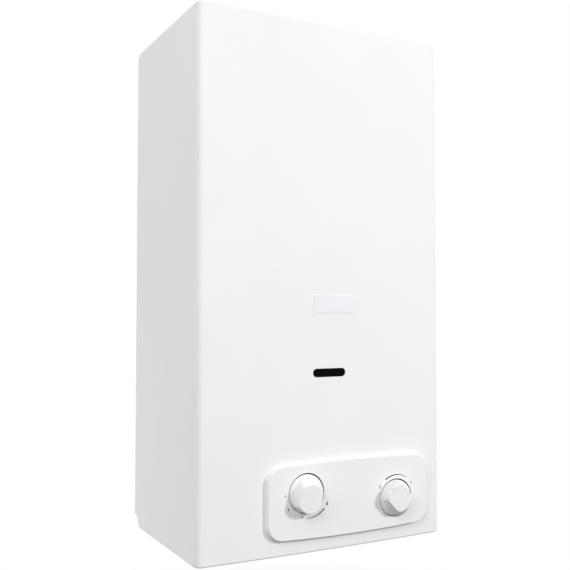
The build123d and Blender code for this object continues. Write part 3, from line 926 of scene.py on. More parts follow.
@dataclass
class FrontCover:
    """The pressed and enamelled cover with its raised control plateau."""

    shop: PaintShop
    width: float = 295.0
    height: float = 565.0
    depth: float = 208.0
    crown: float = 3.0
    sheet: float = 1.0
    corner: float = 8.0
    edge_roll: float = 2.0
    top_lip: float = 24.0
    bottom_lip: float = 12.0
    columns: int = 24
    relief: float = 14.5
    rear_bevel: tuple[float, float] = (9.0, 5.0)
    plateau_middle: tuple[float, float] = (25.6, 54.6)
    plateau_foot: tuple[float, float, float] = (201.9, 78.3, 18.4)
    plateau_rise: float = 5.0
    plateau_draft: float = 15.0
    plateau_bow: float = 3.2
    plateau_columns: int = 16
    foot_round: float = 1.8
    brow_round: float = 0.9
    foot_bury: float = 0.06
    hole_radius: float = 20.85
    hole_lip: float = 0.15
    hole_shift: tuple[float, float] = (0.5, 0.1)
    slot_middle: tuple[float, float] = (0.9, 186.85)
    slot_size: tuple[float, float] = (39.7, 9.15)
    slot_land: float = 0.01
    slot_steps: int = 14
    overrun: float = 6.0
    corner_steps: int = 10
    roll_steps: int = 4
    profile_steps: int = 6
    foot_steps: int = 14
    lip_steps: int = 3
    hole_sides: int = 128
    relief_sides: int = 96
    smooth_angle: float = 32.0

    def sag(self, x: float) -> float:
        """How far the crowned front falls back at x, in millimetres."""
        return self.crown * (2 * x / self.width) ** 2

    def casing(self, name: str, inset: float, rear: float) -> Workpiece:
        """The casing's form without its plateau.

        Args:
            name: The piece's name.
            inset: How far inside the outer skin it lies, in millimetres.
            rear: Where it ends behind, in bench millimetres.

        Returns:
            A closed box with a crowned front and rounded edges.
        """
        half, front = self.width / 2 - inset, inset - self.depth
        low, high = inset, self.height - inset
        box = Workpiece.block(name, row(-half, front, low), row(half, rear, high))
        lines = [half * (2 * i / self.columns - 1) for i in range(1, self.columns)]
        with box.editing():
            box.slice_at(lines)
            for x in (-half, *lines, half):
                box.pick_verts(
                    lambda co, x=x: abs(co.x - x * MM) < SNAP and co.y < (front + 1) * MM
                )
                bpy.ops.transform.translate(value=(0.0, self.sag(x) * MM, 0.0))

        def upright(edge: Any) -> bool:
            """Whether an edge is one of the two front uprights."""
            return all(
                abs(abs(v.co.x) - half * MM) < SNAP and v.co.y < (rear - 1) * MM
                for v in edge.verts
            ) and runs(edge, 2) > MM

        box.bevel(upright, (self.corner - inset) * MM, self.corner_steps)
        ends = (row(0, 0, low).z, row(0, 0, high).z)

        def rim(edge: Any) -> bool:
            """Whether an edge lies on the top or bottom rim, clear of the rear.

            Args:
                edge: One of the box's edges.

            Returns:
                True for an edge that is rolled.
            """
            a, b = (v.co for v in edge.verts)
            level = any(abs(a.z - z) < SNAP and abs(b.z - z) < SNAP for z in ends)
            inner = len(edge.link_faces) == 2 and edge.calc_face_angle() > SHARP
            return level and inner and min(a.y, b.y) < (rear - 1) * MM

        box.bevel(rim, (self.edge_roll - inset / 2) * MM, self.roll_steps)
        return box

    def plateau_profile(self, inset: float) -> list[tuple[float, float]]:
        """The plateau's section from its foot to its top.

        Args:
            inset: How far inside the outer skin it lies, in millimetres.

        Returns:
            Pairs of how far in from the foot's outline and how high above the front.
        """
        steep = 90.0 - self.plateau_draft
        foot, brow, steps = self.foot_round, self.brow_round, self.profile_steps
        points: list[tuple[float, float, float]] = []
        for i in range(steps + 1):
            turn = math.radians(steep * i / steps)
            points.append((foot * math.sin(turn), foot * (1 - math.cos(turn)), turn))
        end = math.radians(steep)
        rise = self.plateau_rise - brow * (1 - math.cos(end))
        reach = points[-1][0] + (rise - points[-1][1]) * math.tan(math.radians(self.plateau_draft))
        for i in range(steps + 1):
            turn = math.radians(steep * (1 - i / steps))
            along = brow * (math.sin(end) - math.sin(turn))
            points.append((reach + along, rise + brow * (math.cos(turn) - math.cos(end)), turn))
        return [
            (d + inset * math.sin(turn), h - inset * math.cos(turn)) for d, h, turn in points
        ]

    def plateau(self, name: str, inset: float) -> Workpiece:
        """The plateau's form, from just under the front's skin.

        Args:
            name: The piece's name.
            inset: How far inside the outer skin it lies, in millimetres.

        Returns:
            A closed block with a rounded foot and brow.
        """
        wide, tall, corner = self.plateau_foot
        x, z = self.plateau_middle
        profile = self.plateau_profile(inset)
        deselect()
        bpy.ops.mesh.primitive_plane_add(
            size=1.0,
            location=row(x, -self.depth - profile[0][1], z),
            rotation=(math.pi / 2, 0.0, 0.0),
        )
        bpy.context.active_object.scale = (wide * MM, tall * MM, 1.0)
        block = Workpiece(name)
        with block.editing():
            bpy.ops.mesh.select_all(action="SELECT")
            bpy.ops.mesh.bevel(
                offset_type="OFFSET", offset=corner * MM, segments=self.foot_steps, affect="VERTICES"
            )
            for (d0, h0), (d1, h1) in zip(profile, profile[1:]):
                top = -(self.depth + h0) * MM
                block.pick_faces(
                    lambda co, n, top=top: abs(co.y - top) < SNAP and OUT.dot(n) > FACING
                )
                bpy.ops.mesh.inset(thickness=(d1 - d0) * MM, depth=(h1 - h0) * MM)
            foot = -(self.depth + profile[0][1]) * MM
            block.pick_edges(lambda e: e.is_boundary)
            back = (self.crown + self.overrun) * MM
            bpy.ops.mesh.extrude_edges_move(TRANSFORM_OT_translate={"value": (0.0, back, 0.0)})
            bpy.ops.mesh.edge_face_add()
            straight, count = wide / 2 - corner, self.plateau_columns
            block.slice_at([x + straight * (2 * i / count - 1) for i in range(count + 1)])
        middle = row(x, 0, z)
        for vert in block.obj.data.vertices:
            offset = (vert.co - middle) * 2 / MM
            side, up = offset.x / wide, offset.z / tall
            vert.co.z += self.plateau_bow * (1 - side**2) * up * MM
            height = max(-vert.co.y / MM - self.depth + inset, 0.0)
            share = max(1 - height / self.plateau_rise, 0.0)
            if vert.co.y < foot + back / 2:
                vert.co.y += (self.sag(vert.co.x / MM) + self.foot_bury) * share * MM
        block.face_out()
        return block

    @staticmethod
    def cutter_block(low: Point, high: Point) -> Workpiece:
        """A box that cuts, from bench corners in millimetres."""
        return Workpiece.block("cutter", row(*low), row(*high))

    def hole_cutter(self, place: KnobPlace) -> Workpiece:
        """A round cutter for a knob hole, flared at the plateau's face.

        Args:
            place: The knob's place.

        Returns:
            The cutter.
        """
        face = self.depth + self.plateau_rise
        lip = self.hole_lip
        x, z = place.x + self.hole_shift[0], place.z + self.hole_shift[1]
        start, end = (row(x, y, z) for y in (self.overrun - face, lip - face))
        tool = Workpiece.rod("cutter", start, end, self.hole_radius * MM, self.hole_sides)
        radius, depth = self.hole_radius, lip
        with tool.editing():
            for i in range(1, self.lip_steps + 1):
                turn = math.pi / 2 * i / self.lip_steps
                next_radius = self.hole_radius + lip * (1 - math.cos(turn))
                next_depth = lip - lip * math.sin(turn)
                tool.push_cap(OUT, (depth - next_depth) * MM, next_radius / radius)
                radius, depth = next_radius, next_depth
            tool.push_cap(OUT, self.overrun * MM, 1.0)
        return tool

    def slot_cutter(self) -> Workpiece:
        """The pill-shaped cutter of the sight slot.

        Returns:
            The cutter.
        """
        x, z = self.slot_middle
        long, tall = self.slot_size
        tool = self.cutter_block(
            (x - long / 2, -self.depth - self.overrun, z - tall / 2),
            (x + long / 2, self.overrun - self.depth, z + tall / 2),
        )
        tool.bevel(lambda e: runs(e, 1) > MM, (tall / 2 - self.slot_land) * MM, self.slot_steps)
        return tool

    def build(self) -> None:
        """Builds the cover and sets it in the CAD cover's place."""
        cover = self.casing("front_cover_pressed", 0.0, 0.0)
        cover.boolean(self.plateau("plateau", 0.0), Cut.JOIN)
        hollow = self.casing("hollow", self.sheet, self.overrun)
        hollow.boolean(self.plateau("hollow_plateau", self.sheet), Cut.JOIN)
        cover.boolean(hollow, Cut.REMOVE)
        half, far = self.width / 2, self.overrun
        for lip, low, high in (
            (self.top_lip, self.height - self.sheet - far, self.height + far),
            (self.bottom_lip, -far, self.sheet + far),
        ):
            cover.boolean(
                self.cutter_block(
                    (lip - half, lip + self.crown - self.depth, low), (half - lip, far, high)
                ),
                Cut.REMOVE,
            )
        notch = Workpiece.rod(
            "cutter",
            row(-half - far, 0, 0),
            row(half + far, 0, 0),
            self.relief * MM,
            self.relief_sides,
        )
        cover.boolean(notch, Cut.REMOVE)
        cover.boolean(self.corner_cutter(), Cut.REMOVE)
        for place in (GAS_PLACE, WATER_PLACE):
            cover.boolean(self.hole_cutter(place), Cut.REMOVE)
        cover.boolean(self.slot_cutter(), Cut.REMOVE)
        cover.tidy()
        cover.smooth(self.smooth_angle)
        cover.hand_over("heater", "enamel", self.shop.by_slot[Slot.ENAMEL], "front_cover")

    def corner_cutter(self) -> Workpiece:
        """The wedge that clips the upper rear corners.

        Returns:
            The cutter.
        """
        deep, tall = self.rear_bevel
        half, far = self.width / 2 + self.overrun, self.overrun
        corners = [
            (-deep, self.height),
            (far, self.height + far),
            (far, self.height - tall),
            (0.0, self.height - tall),
        ]
        wedge = Workpiece.outline("cutter", [row(-half, y, z) for y, z in corners])
        wedge.draw_out(Vector((2 * half * MM, 0.0, 0.0)))
        return wedge


@dataclass
class KnobCap:
    """A cap that leans towards its pointer, with two grip flats along it."""

    shop: PaintShop
    name: str
    node: str
    body: str
    place: KnobPlace
    tick: tuple[float, float, float]
    face: float = PLATEAU_FACE
    radius: float = 19.7
    depth: float = 4.0
    sides: int = 160
    rim_height: float = 0.4
    band: float = 0.8
    band_step: float = 0.1
    ledge_start: float = 1.2
    brow_height: float = 12.8
    brow_radius: float = 15.4
    brow_round: float = 1.2
    lean: float = 3.5
    flat: float = 12.5
    flat_blend: float = 1.2
    flat_shrink: float = 0.45
    ledge: float = 1.6
    scoop: float = 0.6
    layers: int = 14
    brow_steps: int = 5
    socket: float = 5.7
    socket_depth: float = 12.0
    socket_overrun: float = 0.1
    groove_depth: float = 0.6
    groove_block: float = 2.0
    smooth_angle: float = 34.0

    def ring(self, height: float) -> tuple[float, float, float]:
        """The cap's section at one height below its brow.

        Args:
            height: Millimetres proud of the plateau's face.

        Returns:
            The height, the radius and the lean.
        """
        share = (height - self.band) / (self.brow_height - self.band)
        start = self.radius - self.band_step
        return height, start + (self.brow_radius - start) * share, self.lean * share

    def rings(self) -> list[tuple[float, float, float]]:
        """The cap's sections from the plateau's face to its top.

        Returns:
            Each section's height, radius and lean.
        """
        step = (self.brow_height - self.ledge) / self.layers
        heights = [self.band, self.ledge_start, self.ledge]
        heights += [self.ledge + step * (i + 1) for i in range(self.layers)]
        made = [(self.rim_height, self.radius, 0.0), *(self.ring(height) for height in heights)]
        for i in range(1, self.brow_steps + 1):
            turn = math.pi / 2 * i / self.brow_steps
            rise, inset = self.brow_round * math.sin(turn), self.brow_round * (1 - math.cos(turn))
            made.append((self.brow_height + rise, self.brow_radius - inset, self.lean))
        return made

    def at(self, along: float, across: float, height: float) -> Vector:
        """A place in the knob's own frame.

        Args:
            along: Millimetres towards the pointer.
            across: Millimetres square to the pointer.
            height: Millimetres proud of the plateau's face.

        Returns:
            The place in the row frame.
        """
        turn = math.radians(self.place.pointer)
        x = self.place.x + along * math.cos(turn) - across * math.sin(turn)
        z = self.place.z + along * math.sin(turn) + across * math.cos(turn)
        return row(x, self.face - height, z)

    def cutter(self, middle: Point, size: Point) -> Workpiece:
        """A box that cuts, in the knob's own frame.

        Args:
            middle: Its middle along, across and in height, in millimetres.
            size: Its length on each of these lines, in millimetres.

        Returns:
            The cutter.
        """
        along, across, tall = size
        return Workpiece.bar(
            "cutter",
            self.at(*middle),
            Vector((along, tall, across)) * MM,
            -math.radians(self.place.pointer),
        )

    def press_flats(self, cap: Workpiece, rings: Sequence[tuple[float, float, float]]) -> None:
        """Presses the two grip flats into a round cap, scooped out towards its rim.

        Args:
            cap: The cap.
            rings: Its sections.
        """
        square = self.at(0, 1, 0) - self.at(0, 0, 0)
        start = self.at(0, 0, 0)
        for vert in cap.obj.data.vertices:
            height = (start.y - vert.co.y) / MM
            radius = min(rings, key=lambda ring: abs(ring[0] - height))[1]
            limit = self.flat - self.flat_shrink * max(self.brow_radius - radius, 0.0)
            rise = (height - self.ledge) / (self.brow_height - self.ledge)
            depth = min(max(rise, 0.0), 1.0) ** self.scoop
            across = square.dot(vert.co - start) / MM**2
            share = min(max(0.5 + (abs(across) - limit) / (2 * self.flat_blend), 0.0), 1.0)
            kept = abs(across) + (limit - abs(across)) * share
            kept -= self.flat_blend * share * (1 - share)
            vert.co += square * (math.copysign(kept, across) - across) * depth

    def build(self) -> None:
        """Builds the cap and sets it in the CAD knob's place."""
        rings = self.rings()
        top = rings[-1][0]
        cap = Workpiece.rod(
            self.name, self.at(0, 0, -self.depth), self.at(0, 0, 0), self.radius * MM, self.sides
        )
        height, radius, lean = 0.0, self.radius, 0.0
        with cap.editing():
            for next_height, next_radius, next_lean in rings:
                slide = self.at(next_lean, 0, 0) - self.at(lean, 0, 0)
                cap.push_cap(OUT, (next_height - height) * MM, next_radius / radius, slide)
                height, radius, lean = next_height, next_radius, next_lean
        self.press_flats(cap, rings)
        inner, outer, width = self.tick
        groove = self.cutter(
            ((inner + outer) / 2, 0.0, top + self.groove_block / 2 - self.groove_depth),
            (outer - inner, width, self.groove_block),
        )
        cap.boolean(groove, Cut.REMOVE)
        sink = self.socket_depth / 2 - self.depth
        square_cut = (self.socket, self.socket, self.socket_depth + self.socket_overrun)
        cap.boolean(self.cutter((0.0, 0.0, sink), square_cut), Cut.REMOVE)
        cap.tidy()
        cap.smooth(self.smooth_angle)
        cap.hand_over(self.body, "knob_plastic", self.shop.by_slot[Slot.KNOB], self.node)


@dataclass
class GapShadeRing:
    """A thin dark ring behind the cover, in the rubber finish, that is painted shade darkening a knob's
    gap.
    """

    shop: PaintShop
    name: str
    place: KnobPlace
    front: float = -211.98
    rear: float = -211.2
    inner: float = 19.95
    outer: float = 22.6
    lip: float = 0.25
    lip_steps: int = 3
    sides: int = 96
    smooth_angle: float = 40.0

    def build(self) -> None:
        """Builds the dark ring and sets it against the cover's inside, as painted shade in the gap."""
        x, z = self.place.x, self.place.z
        rear, front = row(x, self.rear, z), row(x, self.front, z)
        ring = Workpiece.rod(self.name, rear, front, self.outer * MM, self.sides)
        bore = Workpiece.rod(
            "cutter", rear - OUT * MM, front + OUT * MM, self.inner * MM, self.sides
        )
        ring.boolean(bore, Cut.REMOVE)
        near = (self.inner + self.outer) / 2 * MM

        def rim(edge: Any) -> bool:
            """Whether an edge lies round the rear of the bore."""
            return all(
                abs(v.co.y - rear.y) < SNAP
                and math.hypot(v.co.x - rear.x, v.co.z - rear.z) < near
                for v in edge.verts
            )

        ring.bevel(rim, self.lip * MM, self.lip_steps)
        ring.smooth(self.smooth_angle)
        # The dark rubber finish makes this ring painted shade for the knob gap.
        ring.hand_over("heater", "rubber", self.shop.by_slot[Slot.RUBBER])


@dataclass
class DialMarks:
    """Printed marks round one knob: dots, ticks, tapered arcs and small signs."""

    shop: PaintShop
    name: str
    place: KnobPlace
    face: float = PLATEAU_FACE
    ink: float = 0.05
    sink: float = 0.03
    dot_sides: int = 20
    arc_steps: int = 24
    drop_steps: int = 12
    drop_sweep: tuple[float, float] = (160.0, 380.0)
    hollow: float = 0.62
    hollow_drop: float = 0.05
    slit: tuple[float, float] = (0.02, 0.01)
    pieces: list[Workpiece] = field(default_factory=list)

    def add(self, points: Sequence[Vector]) -> None:
        """Prints one closed outline.

        Args:
            points: The outline in order, in metres.
        """
        mark = Workpiece.outline("mark", points)
        mark.draw_out(OUT * (self.ink + self.sink) * MM)
        self.pieces.append(mark)

    def spot(self, radius: float, angle: float, x: float, z: float) -> Vector:
        """A place near a mark's middle, in the plateau's plane.

        Args:
            radius: The mark's distance from the knob's middle.
            angle: The mark's angle in degrees.
            x: Millimetres to the right of the mark's middle.
            z: Millimetres above the mark's middle.

        Returns:
            The place, just under the plateau's face.
        """
        return self.place.polar(radius, angle, self.face + self.sink) + Vector((x, 0.0, z)) * MM

    def dot(self, radius: float, angle: float, size: float) -> None:
        """A round dot."""
        turns = [math.tau * i / self.dot_sides for i in range(self.dot_sides)]
        self.add(
            [self.spot(radius, angle, size * math.cos(t), size * math.sin(t)) for t in turns]
        )

    def tick(self, radius: float, angle: float, long: float, wide: float) -> None:
        """A short radial bar.

        Args:
            radius: The bar's distance from the knob's middle.
            angle: The bar's angle in degrees.
            long: Its length outwards in millimetres.
            wide: Its width in millimetres.
        """
        turn = math.radians(angle)
        out = Vector((math.cos(turn), math.sin(turn)))
        side = Vector((-math.sin(turn), math.cos(turn)))
        corners = [(-1, -1), (1, -1), (1, 1), (-1, 1)]
        spots = [out * (a * long / 2) + side * (b * wide / 2) for a, b in corners]
        self.add([self.spot(radius, angle, *spot) for spot in spots])

    def arc(self, start: Point, end: Point) -> None:
        """A tapered arc.

        Args:
            start: Angle, radius and thickness where it begins.
            end: Angle, radius and thickness where it ends.
        """
        inner, outer = [], []
        for i in range(self.arc_steps + 1):
            angle, radius, thick = (
                a + (b - a) * i / self.arc_steps for a, b in zip(start, end)
            )
            inner.append(self.place.polar(radius - thick / 2, angle, self.face + self.sink))
            outer.append(self.place.polar(radius + thick / 2, angle, self.face + self.sink))
        self.add([*outer, *reversed(inner)])

    def drop(self, radius: float, angle: float, wide: float, tall: float) -> None:
        """A water drop that hangs from its point."""
        self.add([self.spot(radius, angle, *p) for p in self.drop_shape(wide, tall)])

    def drop_shape(self, wide: float, tall: float) -> list[tuple[float, float]]:
        """The outline of a drop.

        Args:
            wide: Its width in millimetres.
            tall: Its height in millimetres.

        Returns:
            Points about the drop's middle.
        """
        belly = wide / 2
        points = [(0.0, tall / 2)]
        start, end = self.drop_sweep
        for i in range(self.drop_steps + 1):
            turn = math.radians(start + (end - start) * i / self.drop_steps)
            points.append((belly * math.cos(turn), belly * math.sin(turn) + belly - tall / 2))
        return points

    def ring_drop(self, radius: float, angle: float, wide: float, tall: float) -> None:
        """A hollow drop, drawn as one line that nearly closes at the point.

        Args:
            radius: The drop's distance from the knob's middle.
            angle: The drop's angle in degrees.
            wide: Its width in millimetres.
            tall: Its height in millimetres.
        """
        aside, below = self.slit
        tip, *outer = self.drop_shape(wide, tall)
        inner_tip, *inner = [
            (x * self.hollow, z * self.hollow - tall * self.hollow_drop) for x, z in (tip, *outer)
        ]
        gap = [(-aside, tip[1] - below), (-aside, inner_tip[1])]
        line = [tip, *reversed(outer), *gap, *inner, inner_tip]
        self.add([self.spot(radius, angle, *p) for p in line])

    def flame(self, radius: float, angle: float, wide: float, tall: float) -> None:
        """A small flame with its tip leaning."""
        shape = [
            (0.15, 0.5), (-0.12, 0.2), (-0.36, -0.02), (-0.5, -0.24), (-0.4, -0.42),
            (-0.15, -0.5), (0.15, -0.5), (0.4, -0.42), (0.5, -0.22), (0.42, 0.02), (0.24, 0.2),
        ]
        self.add([self.spot(radius, angle, x * wide, z * tall) for x, z in shape])

    def finish(self) -> None:
        """Joins the marks and sets them on the cover."""
        first, *rest = self.pieces
        first.join(rest)
        first.obj.name = self.name
        first.obj.data.name = self.name
        first.hand_over("heater", "dark_plastic", self.shop.ink)


@dataclass
class Controls:
    """The two knobs and their dials."""

    shop: PaintShop

    def build(self) -> None:
        """Builds both knobs and prints both dials."""
        KnobCap(
            self.shop, "gas_knob_cap", "gas_knob", "gas_control", GAS_PLACE, (11.9, 13.8, 0.9)
        ).build()
        KnobCap(
            self.shop, "water_knob_cap", "water_knob", "water_control", WATER_PLACE, (11.6, 19.0, 1.2)
        ).build()
        # Dark rings behind the knob holes are painted shade that darkens each gap.
        GapShadeRing(self.shop, "gas_knob_seal", GAS_PLACE).build()
        GapShadeRing(self.shop, "water_knob_seal", WATER_PLACE).build()
        gas = DialMarks(self.shop, "gas_dial_marks", KnobPlace(-28.9, 62.0))
        gas.dot(24.8, 178.7, 0.75)
        gas.dot(25.4, 212.5, 0.95)
        gas.tick(23.7, 256.8, 2.2, 1.1)
        gas.arc((269.9, 24.8, 0.5), (321.2, 26.4, 1.5))
        gas.flame(26.5, 334.0, 2.3, 4.2)
        gas.finish()
        water = DialMarks(self.shop, "water_dial_marks", KnobPlace(82.2, 47.4))
        water.ring_drop(25.0, 147.2, 2.8, 4.2)
        water.arc((123.9, 24.5, 1.5), (58.3, 24.8, 0.5))
        water.drop(25.0, 36.4, 1.3, 2.8)
        water.finish()


@dataclass
class BadgePlate:
    """The small pale plate on the front."""

    shop: PaintShop
    low: tuple[float, float] = (-17.6, 250.5)
    high: tuple[float, float] = (29.6, 270.0)
    front: float = -208.4
    rear: float = -207.7
    corner: float = 1.6
    corner_steps: int = 8
    edge: float = 0.18
    edge_steps: int = 3
    smooth_angle: float = 40.0

    def build(self) -> None:
        """Builds the plate and sets it on the cover."""
        plate = Workpiece.block(
            "bare_badge_plate",
            row(self.low[0], self.front, self.low[1]),
            row(self.high[0], self.rear, self.high[1]),
        )
        plate.bevel(lambda e: runs(e, 1) > MM / 10, self.corner * MM, self.corner_steps)
        front = self.front * MM
        plate.bevel(
            lambda e: all(abs(v.co.y - front) < SNAP for v in e.verts),
            self.edge * MM,
            self.edge_steps,
        )
        plate.smooth(self.smooth_angle)
        plate.hand_over("heater", "enamel", self.shop.plate)


@dataclass
class PipeThreads:
    """Pipe threads on the three connections under the casing."""

    shop: PaintShop
    root: float = 10.2
    crest: float = 11.0
    pitch: float = 1.814
    turns: int = 8
    steps: int = 36
    flank_share: float = 0.46
    crest_half: float = 0.12
    base: float = -13.1
    smooth_angle: float = 30.0
    ends: Sequence[tuple[str, float, float, Slot]] = (
        ("gas_inlet_thread", -21.7, -112.0, Slot.CAST),
        ("cold_inlet_thread", 81.3, -112.0, Slot.BRASS),
        ("hot_outlet_thread", -116.0, -74.0, Slot.COPPER),
    )

    def build(self) -> None:
        """Winds one thread and copies it to each connection."""
        flank, land = self.pitch * self.flank_share, self.crest_half
        corners = [(self.root, -flank), (self.crest, -land), (self.crest, land), (self.root, flank)]
        thread = Workpiece.outline("thread", [Vector((x, 0.0, z)) * MM for x, z in corners])
        with thread.editing():
            bpy.ops.mesh.select_all(action="SELECT")
            bpy.ops.mesh.delete(type="ONLY_FACE")
        wind = thread.obj.modifiers.new("wind", "SCREW")
        wind.axis = "Z"
        wind.angle = math.tau
        wind.screw_offset = self.pitch * MM
        wind.iterations = self.turns
        wind.steps = wind.render_steps = self.steps
        thread.apply(wind)
        with thread.editing():
            bpy.ops.mesh.select_all(action="SELECT")
            bpy.ops.mesh.fill_holes(sides=0)
        thread.face_out()
        thread.smooth(self.smooth_angle, weighted=False)
        for name, x, y, slot in self.ends:
            copy = thread.copy_to(name, row(x, y, self.base), Euler())
            copy.hand_over("heater", slot.slot, self.shop.by_slot[slot])
        bpy.data.objects.remove(thread.obj)


@dataclass
class Fasteners:
    """Hexagon bolts on the water valve and pan-head screws on the hood."""

    shop: PaintShop
    bolt_ring: float = 29.5
    bolts: int = 6
    cover_face: float = 41.3
    valve_axis: tuple[float, float] = (-112.0, 63.0)
    hood_front: float = -179.0
    hood_rear: float = -29.0
    hood_reach: float = 92.0
    hood_height: float = 420.0
    washer_radius: float = 5.4
    washer_sides: int = 32
    hex_radius: float = 4.5
    hex_ends: tuple[float, float] = (0.5, 4.2)
    hex_chamfer: tuple[float, float] = (0.5, 0.86)
    pan_radius: float = 3.6
    pan_ends: tuple[float, float] = (-0.4, 0.9)
    pan_sides: int = 40
    pan_dome: Sequence[tuple[float, float]] = ((0.5, 0.94), (0.4, 0.86), (0.25, 0.72))
    cross_arms: Sequence[Point] = ((3.4, 0.8, 2.0), (0.8, 3.4, 2.0))
    cross_height: float = 2.2
    bolt_smooth: float = 30.0
    pan_smooth: float = 34.0

    def hex_bolt(self) -> Workpiece:
        """A hexagon head on its washer, standing up from the origin.

        Returns:
            The bolt.
        """
        bolt = Workpiece.rod("bolt", Vector(), UP * MM, self.washer_radius * MM, self.washer_sides)
        low, high = (UP * end * MM for end in self.hex_ends)
        head = Workpiece.rod("head", low, high, self.hex_radius * MM, 6)
        step, scale = self.hex_chamfer
        with head.editing():
            head.push_cap(UP, step * MM, scale)
        bolt.boolean(head, Cut.JOIN)
        bolt.smooth(self.bolt_smooth)
        return bolt

    def pan_screw(self) -> Workpiece:
        """A domed head with a cross recess, standing up from the origin.

        Returns:
            The screw.
        """
        low, high = (UP * end * MM for end in self.pan_ends)
        screw = Workpiece.rod("screw", low, high, self.pan_radius * MM, self.pan_sides)
        with screw.editing():
            for step, scale in self.pan_dome:
                screw.push_cap(UP, step * MM, scale)
        for size in self.cross_arms:
            arm = Workpiece.bar("arm", UP * self.cross_height * MM, Vector(size) * MM)
            screw.boolean(arm, Cut.REMOVE)
        screw.smooth(self.pan_smooth)
        return screw

    def build(self) -> None:
        """Makes one of each and copies them into place."""
        bolt, screw = self.hex_bolt(), self.pan_screw()
        y, z = self.valve_axis
        made = []
        for i in range(self.bolts):
            turn = math.tau * (i + 0.5) / self.bolts
            spot = row(
                self.cover_face,
                y + self.bolt_ring * math.cos(turn),
                z + self.bolt_ring * math.sin(turn),
            )
            made.append(bolt.copy_to(f"flange_bolt_{i + 1}", spot, Euler((0, -math.pi / 2, 0))))
        faces = ((self.hood_front, math.pi / 2), (self.hood_rear, -math.pi / 2))
        spots = [(side * self.hood_reach, *face) for side in (-1, 1) for face in faces]
        for i, (x, depth, tip) in enumerate(spots):
            spot = row(x, depth, self.hood_height)
            made.append(screw.copy_to(f"hood_screw_{i + 1}", spot, Euler((tip, 0, 0))))
        for piece in made:
            piece.hand_over("heater", "steel_rod", self.shop.zinc_screw)
        for model in (bolt, screw):
            bpy.data.objects.remove(model.obj)


@dataclass
class Works:
    """The finish of each CAD node, by slot."""

    shop: PaintShop

    def dress(self) -> None:
        """Gives each node its finish."""
        self.shop.dress(
            {
                Slot.ENAMEL: ("front_cover",),
                Slot.KNOB: ("gas_knob", "water_knob"),
                Slot.ZINC: (
                    "back_plate", "sight_frame", "draft_hood", "flue_collar", "valve_bracket",
                    "upper_bracket", "lower_bracket", "pipe_clip", "press_yoke",
                ),
                Slot.BURNER: ("burner_rails", "burner_frame", "pilot_bracket", "pilot_burner"),
                Slot.STEEL: (
                    "gas_spindle", "water_spindle", "valve_rod", "thermocouple", "gas_manifold",
                ),
                Slot.DARK: ("piezo_igniter", "piezo_plunger", "spill_thermostat", "overheat_thermostat"),
                Slot.CERAMIC: ("ignition_electrode",),
                Slot.BRASS: (
                    "gas_gland", "water_gland", "magnet_unit", "drain_plug", "riser_nut",
                    "burner_jets", "water_valve_body", "water_valve_cover",
                ),
                Slot.COPPER: (
                    "cold_riser", "inlet_header", "right_return_header", "left_return_header",
                    "outlet_header", "exchanger_tubes", "exchanger_fins", "exchanger_shell", "hot_pipe",
                ),
                Slot.CAST: ("gas_valve_body", "valve_bridge", "gas_elbow"),
                Slot.RUBBER: ("diaphragm", "gas_poppet"),
                Slot.GLASS: ("sight_glass",),
            }
        )


@dataclass
class Lamp:
    """A soft square lamp aimed at a point of the object."""

    name: str
    place: Point
    aim: Point
    size: float
    power: float

    def hang(self) -> None:
        """Adds the lamp to the scene."""
        data = bpy.data.lights.new(self.name, "AREA")
        data.size = self.size
        data.energy = self.power
        lamp = bpy.data.objects.new(self.name, data)
        bpy.context.scene.collection.objects.link(lamp)
        lamp.location = self.place
        lamp.visible_glossy = False
        line = Vector(self.aim) - Vector(self.place)
        lamp.rotation_euler = line.to_track_quat("-Z", "Y").to_euler()


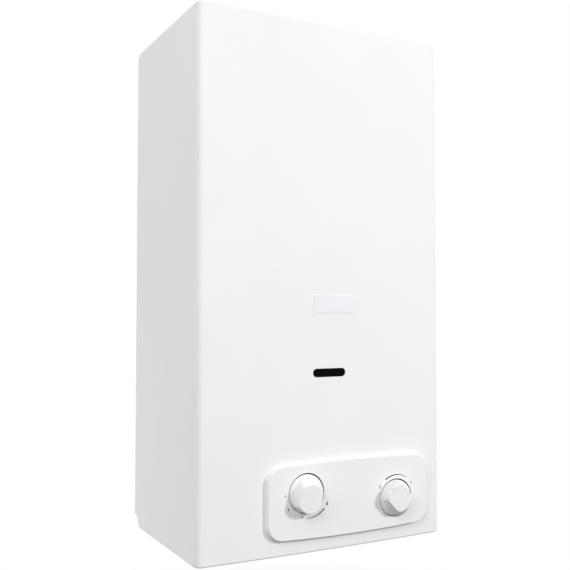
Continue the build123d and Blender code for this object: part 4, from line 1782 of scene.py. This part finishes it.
@dataclass
class Studio:
    """Camera, pale floor, white surround and soft lamps."""

    camera_place: Point = (-0.4386, -0.9906, -0.2841)
    yaw: float = 29.666
    pitch: float = 2.331
    roll: float = -0.106
    lens: float = 52.90
    sensor: float = 36.0
    shift: float = -0.0867
    floor_height: float = -0.80
    floor_size: float = 8.0
    floor_tone: Colour = grey(0.8)
    floor_bounce: Colour = grey(0.17)
    floor_fade: tuple[float, float] = (0.35, 0.75)
    ambient: float = 0.54
    lamps: Sequence[Lamp] = (
        Lamp("key", (1.42, -2.15, 0.5), (0.02, -0.21, -0.47), 0.28, 32.5),
        Lamp("overhead", (-1.3, -1.9, 0.9), (0.0, -0.2, -0.2), 1.2, 15.0),
        Lamp("left_high", (-1.9, -1.1, 1.2), (0.0, -0.15, -0.3), 1.6, 16.0),
        Lamp("left_fill", (-0.7, 0.2, -0.66), (-0.15, -0.05, -0.45), 0.25, 0.6),
    )

    def set_camera(self) -> None:
        """Places the camera where the photograph was taken."""
        data = bpy.data.cameras.new("photo_camera")
        data.lens = self.lens
        data.sensor_width = self.sensor
        data.shift_x = self.shift
        camera = bpy.data.objects.new("photo_camera", data)
        bpy.context.scene.collection.objects.link(camera)
        camera.location = self.camera_place
        aim = Euler((math.radians(90.0 + self.pitch), 0.0, -math.radians(self.yaw)))
        roll = Euler((0.0, 0.0, math.radians(self.roll)))
        camera.rotation_euler = (aim.to_matrix() @ roll.to_matrix()).to_euler()
        bpy.context.scene.camera = camera

    @staticmethod
    def seen(bench: NodeBench) -> Wire:
        """1 for camera, mirror and glass rays, and 0 for the light that falls on things."""
        rays = [
            bench.node("ShaderNodeLightPath", output=name)
            for name in ("Is Camera Ray", "Is Glossy Ray", "Is Transmission Ray")
        ]
        return rays[0] + rays[1] + rays[2]

    def set_world(self) -> None:
        """White to the eye, an even grey as light."""
        world = bpy.data.worlds.new("studio_white")
        bpy.context.scene.world = world
        bench = NodeBench(world)
        strength = self.seen(bench) * (1.0 - self.ambient) + self.ambient
        shade = bench.node(
            "ShaderNodeBackground", {}, {"Color": (1.0, 1.0, 1.0, 1.0), "Strength": strength}
        )
        bench.node("ShaderNodeOutputWorld", {}, {"Surface": shade})

    def lay_floor(self) -> None:
        """A pale floor that keeps the shadow near the object and turns white further out."""
        deselect()
        bpy.ops.mesh.primitive_plane_add(size=self.floor_size, location=(0, 0, self.floor_height))
        floor = Workpiece("studio_floor").obj
        material = bpy.data.materials.new("pale_floor")
        bench = NodeBench(material)
        flat = bench.place((1.0, 1.0, 0.0))
        far = bench.node("ShaderNodeVectorMath", {"operation": "LENGTH"}, {0: flat}, "Value")
        near_edge, far_edge = self.floor_fade
        fade = bench.node(
            "ShaderNodeMapRange",
            {"interpolation_type": "SMOOTHSTEP"},
            {"Value": far, "From Min": near_edge, "From Max": far_edge},
        )
        tones = [
            bench.node("ShaderNodeBsdfDiffuse", {}, {"Color": (*tone, 1.0)})
            for tone in (self.floor_tone, self.floor_bounce)
        ]
        bounced = bench.node("ShaderNodeLightPath", output="Is Diffuse Ray")
        pale = bench.node("ShaderNodeMixShader", {}, {0: bounced, 1: tones[0], 2: tones[1]})
        white = bench.node("ShaderNodeEmission", {}, {"Strength": 1.0})
        mixed = bench.node(
            "ShaderNodeMixShader", {}, {0: self.seen(bench) * fade, 1: pale, 2: white}
        )
        bench.node("ShaderNodeOutputMaterial", {}, {"Surface": mixed})
        floor.data.materials.append(material)

    def build(self) -> None:
        """Sets up the whole studio."""
        bpy.context.scene.view_settings.view_transform = "Standard"
        self.set_camera()
        self.set_world()
        self.lay_floor()
        for lamp in self.lamps:
            lamp.hang()


def main() -> None:
    """Builds the heater's looks in order."""
    logging.basicConfig(level=logging.INFO, format="%(message)s")
    clear_start()
    Studio().build()
    shop = PaintShop()
    Works(shop).dress()
    FrontCover(shop).build()
    Controls(shop).build()
    BadgePlate(shop).build()
    PipeThreads(shop).build()
    Fasteners(shop).build()


if __name__ == "__main__":
    main()
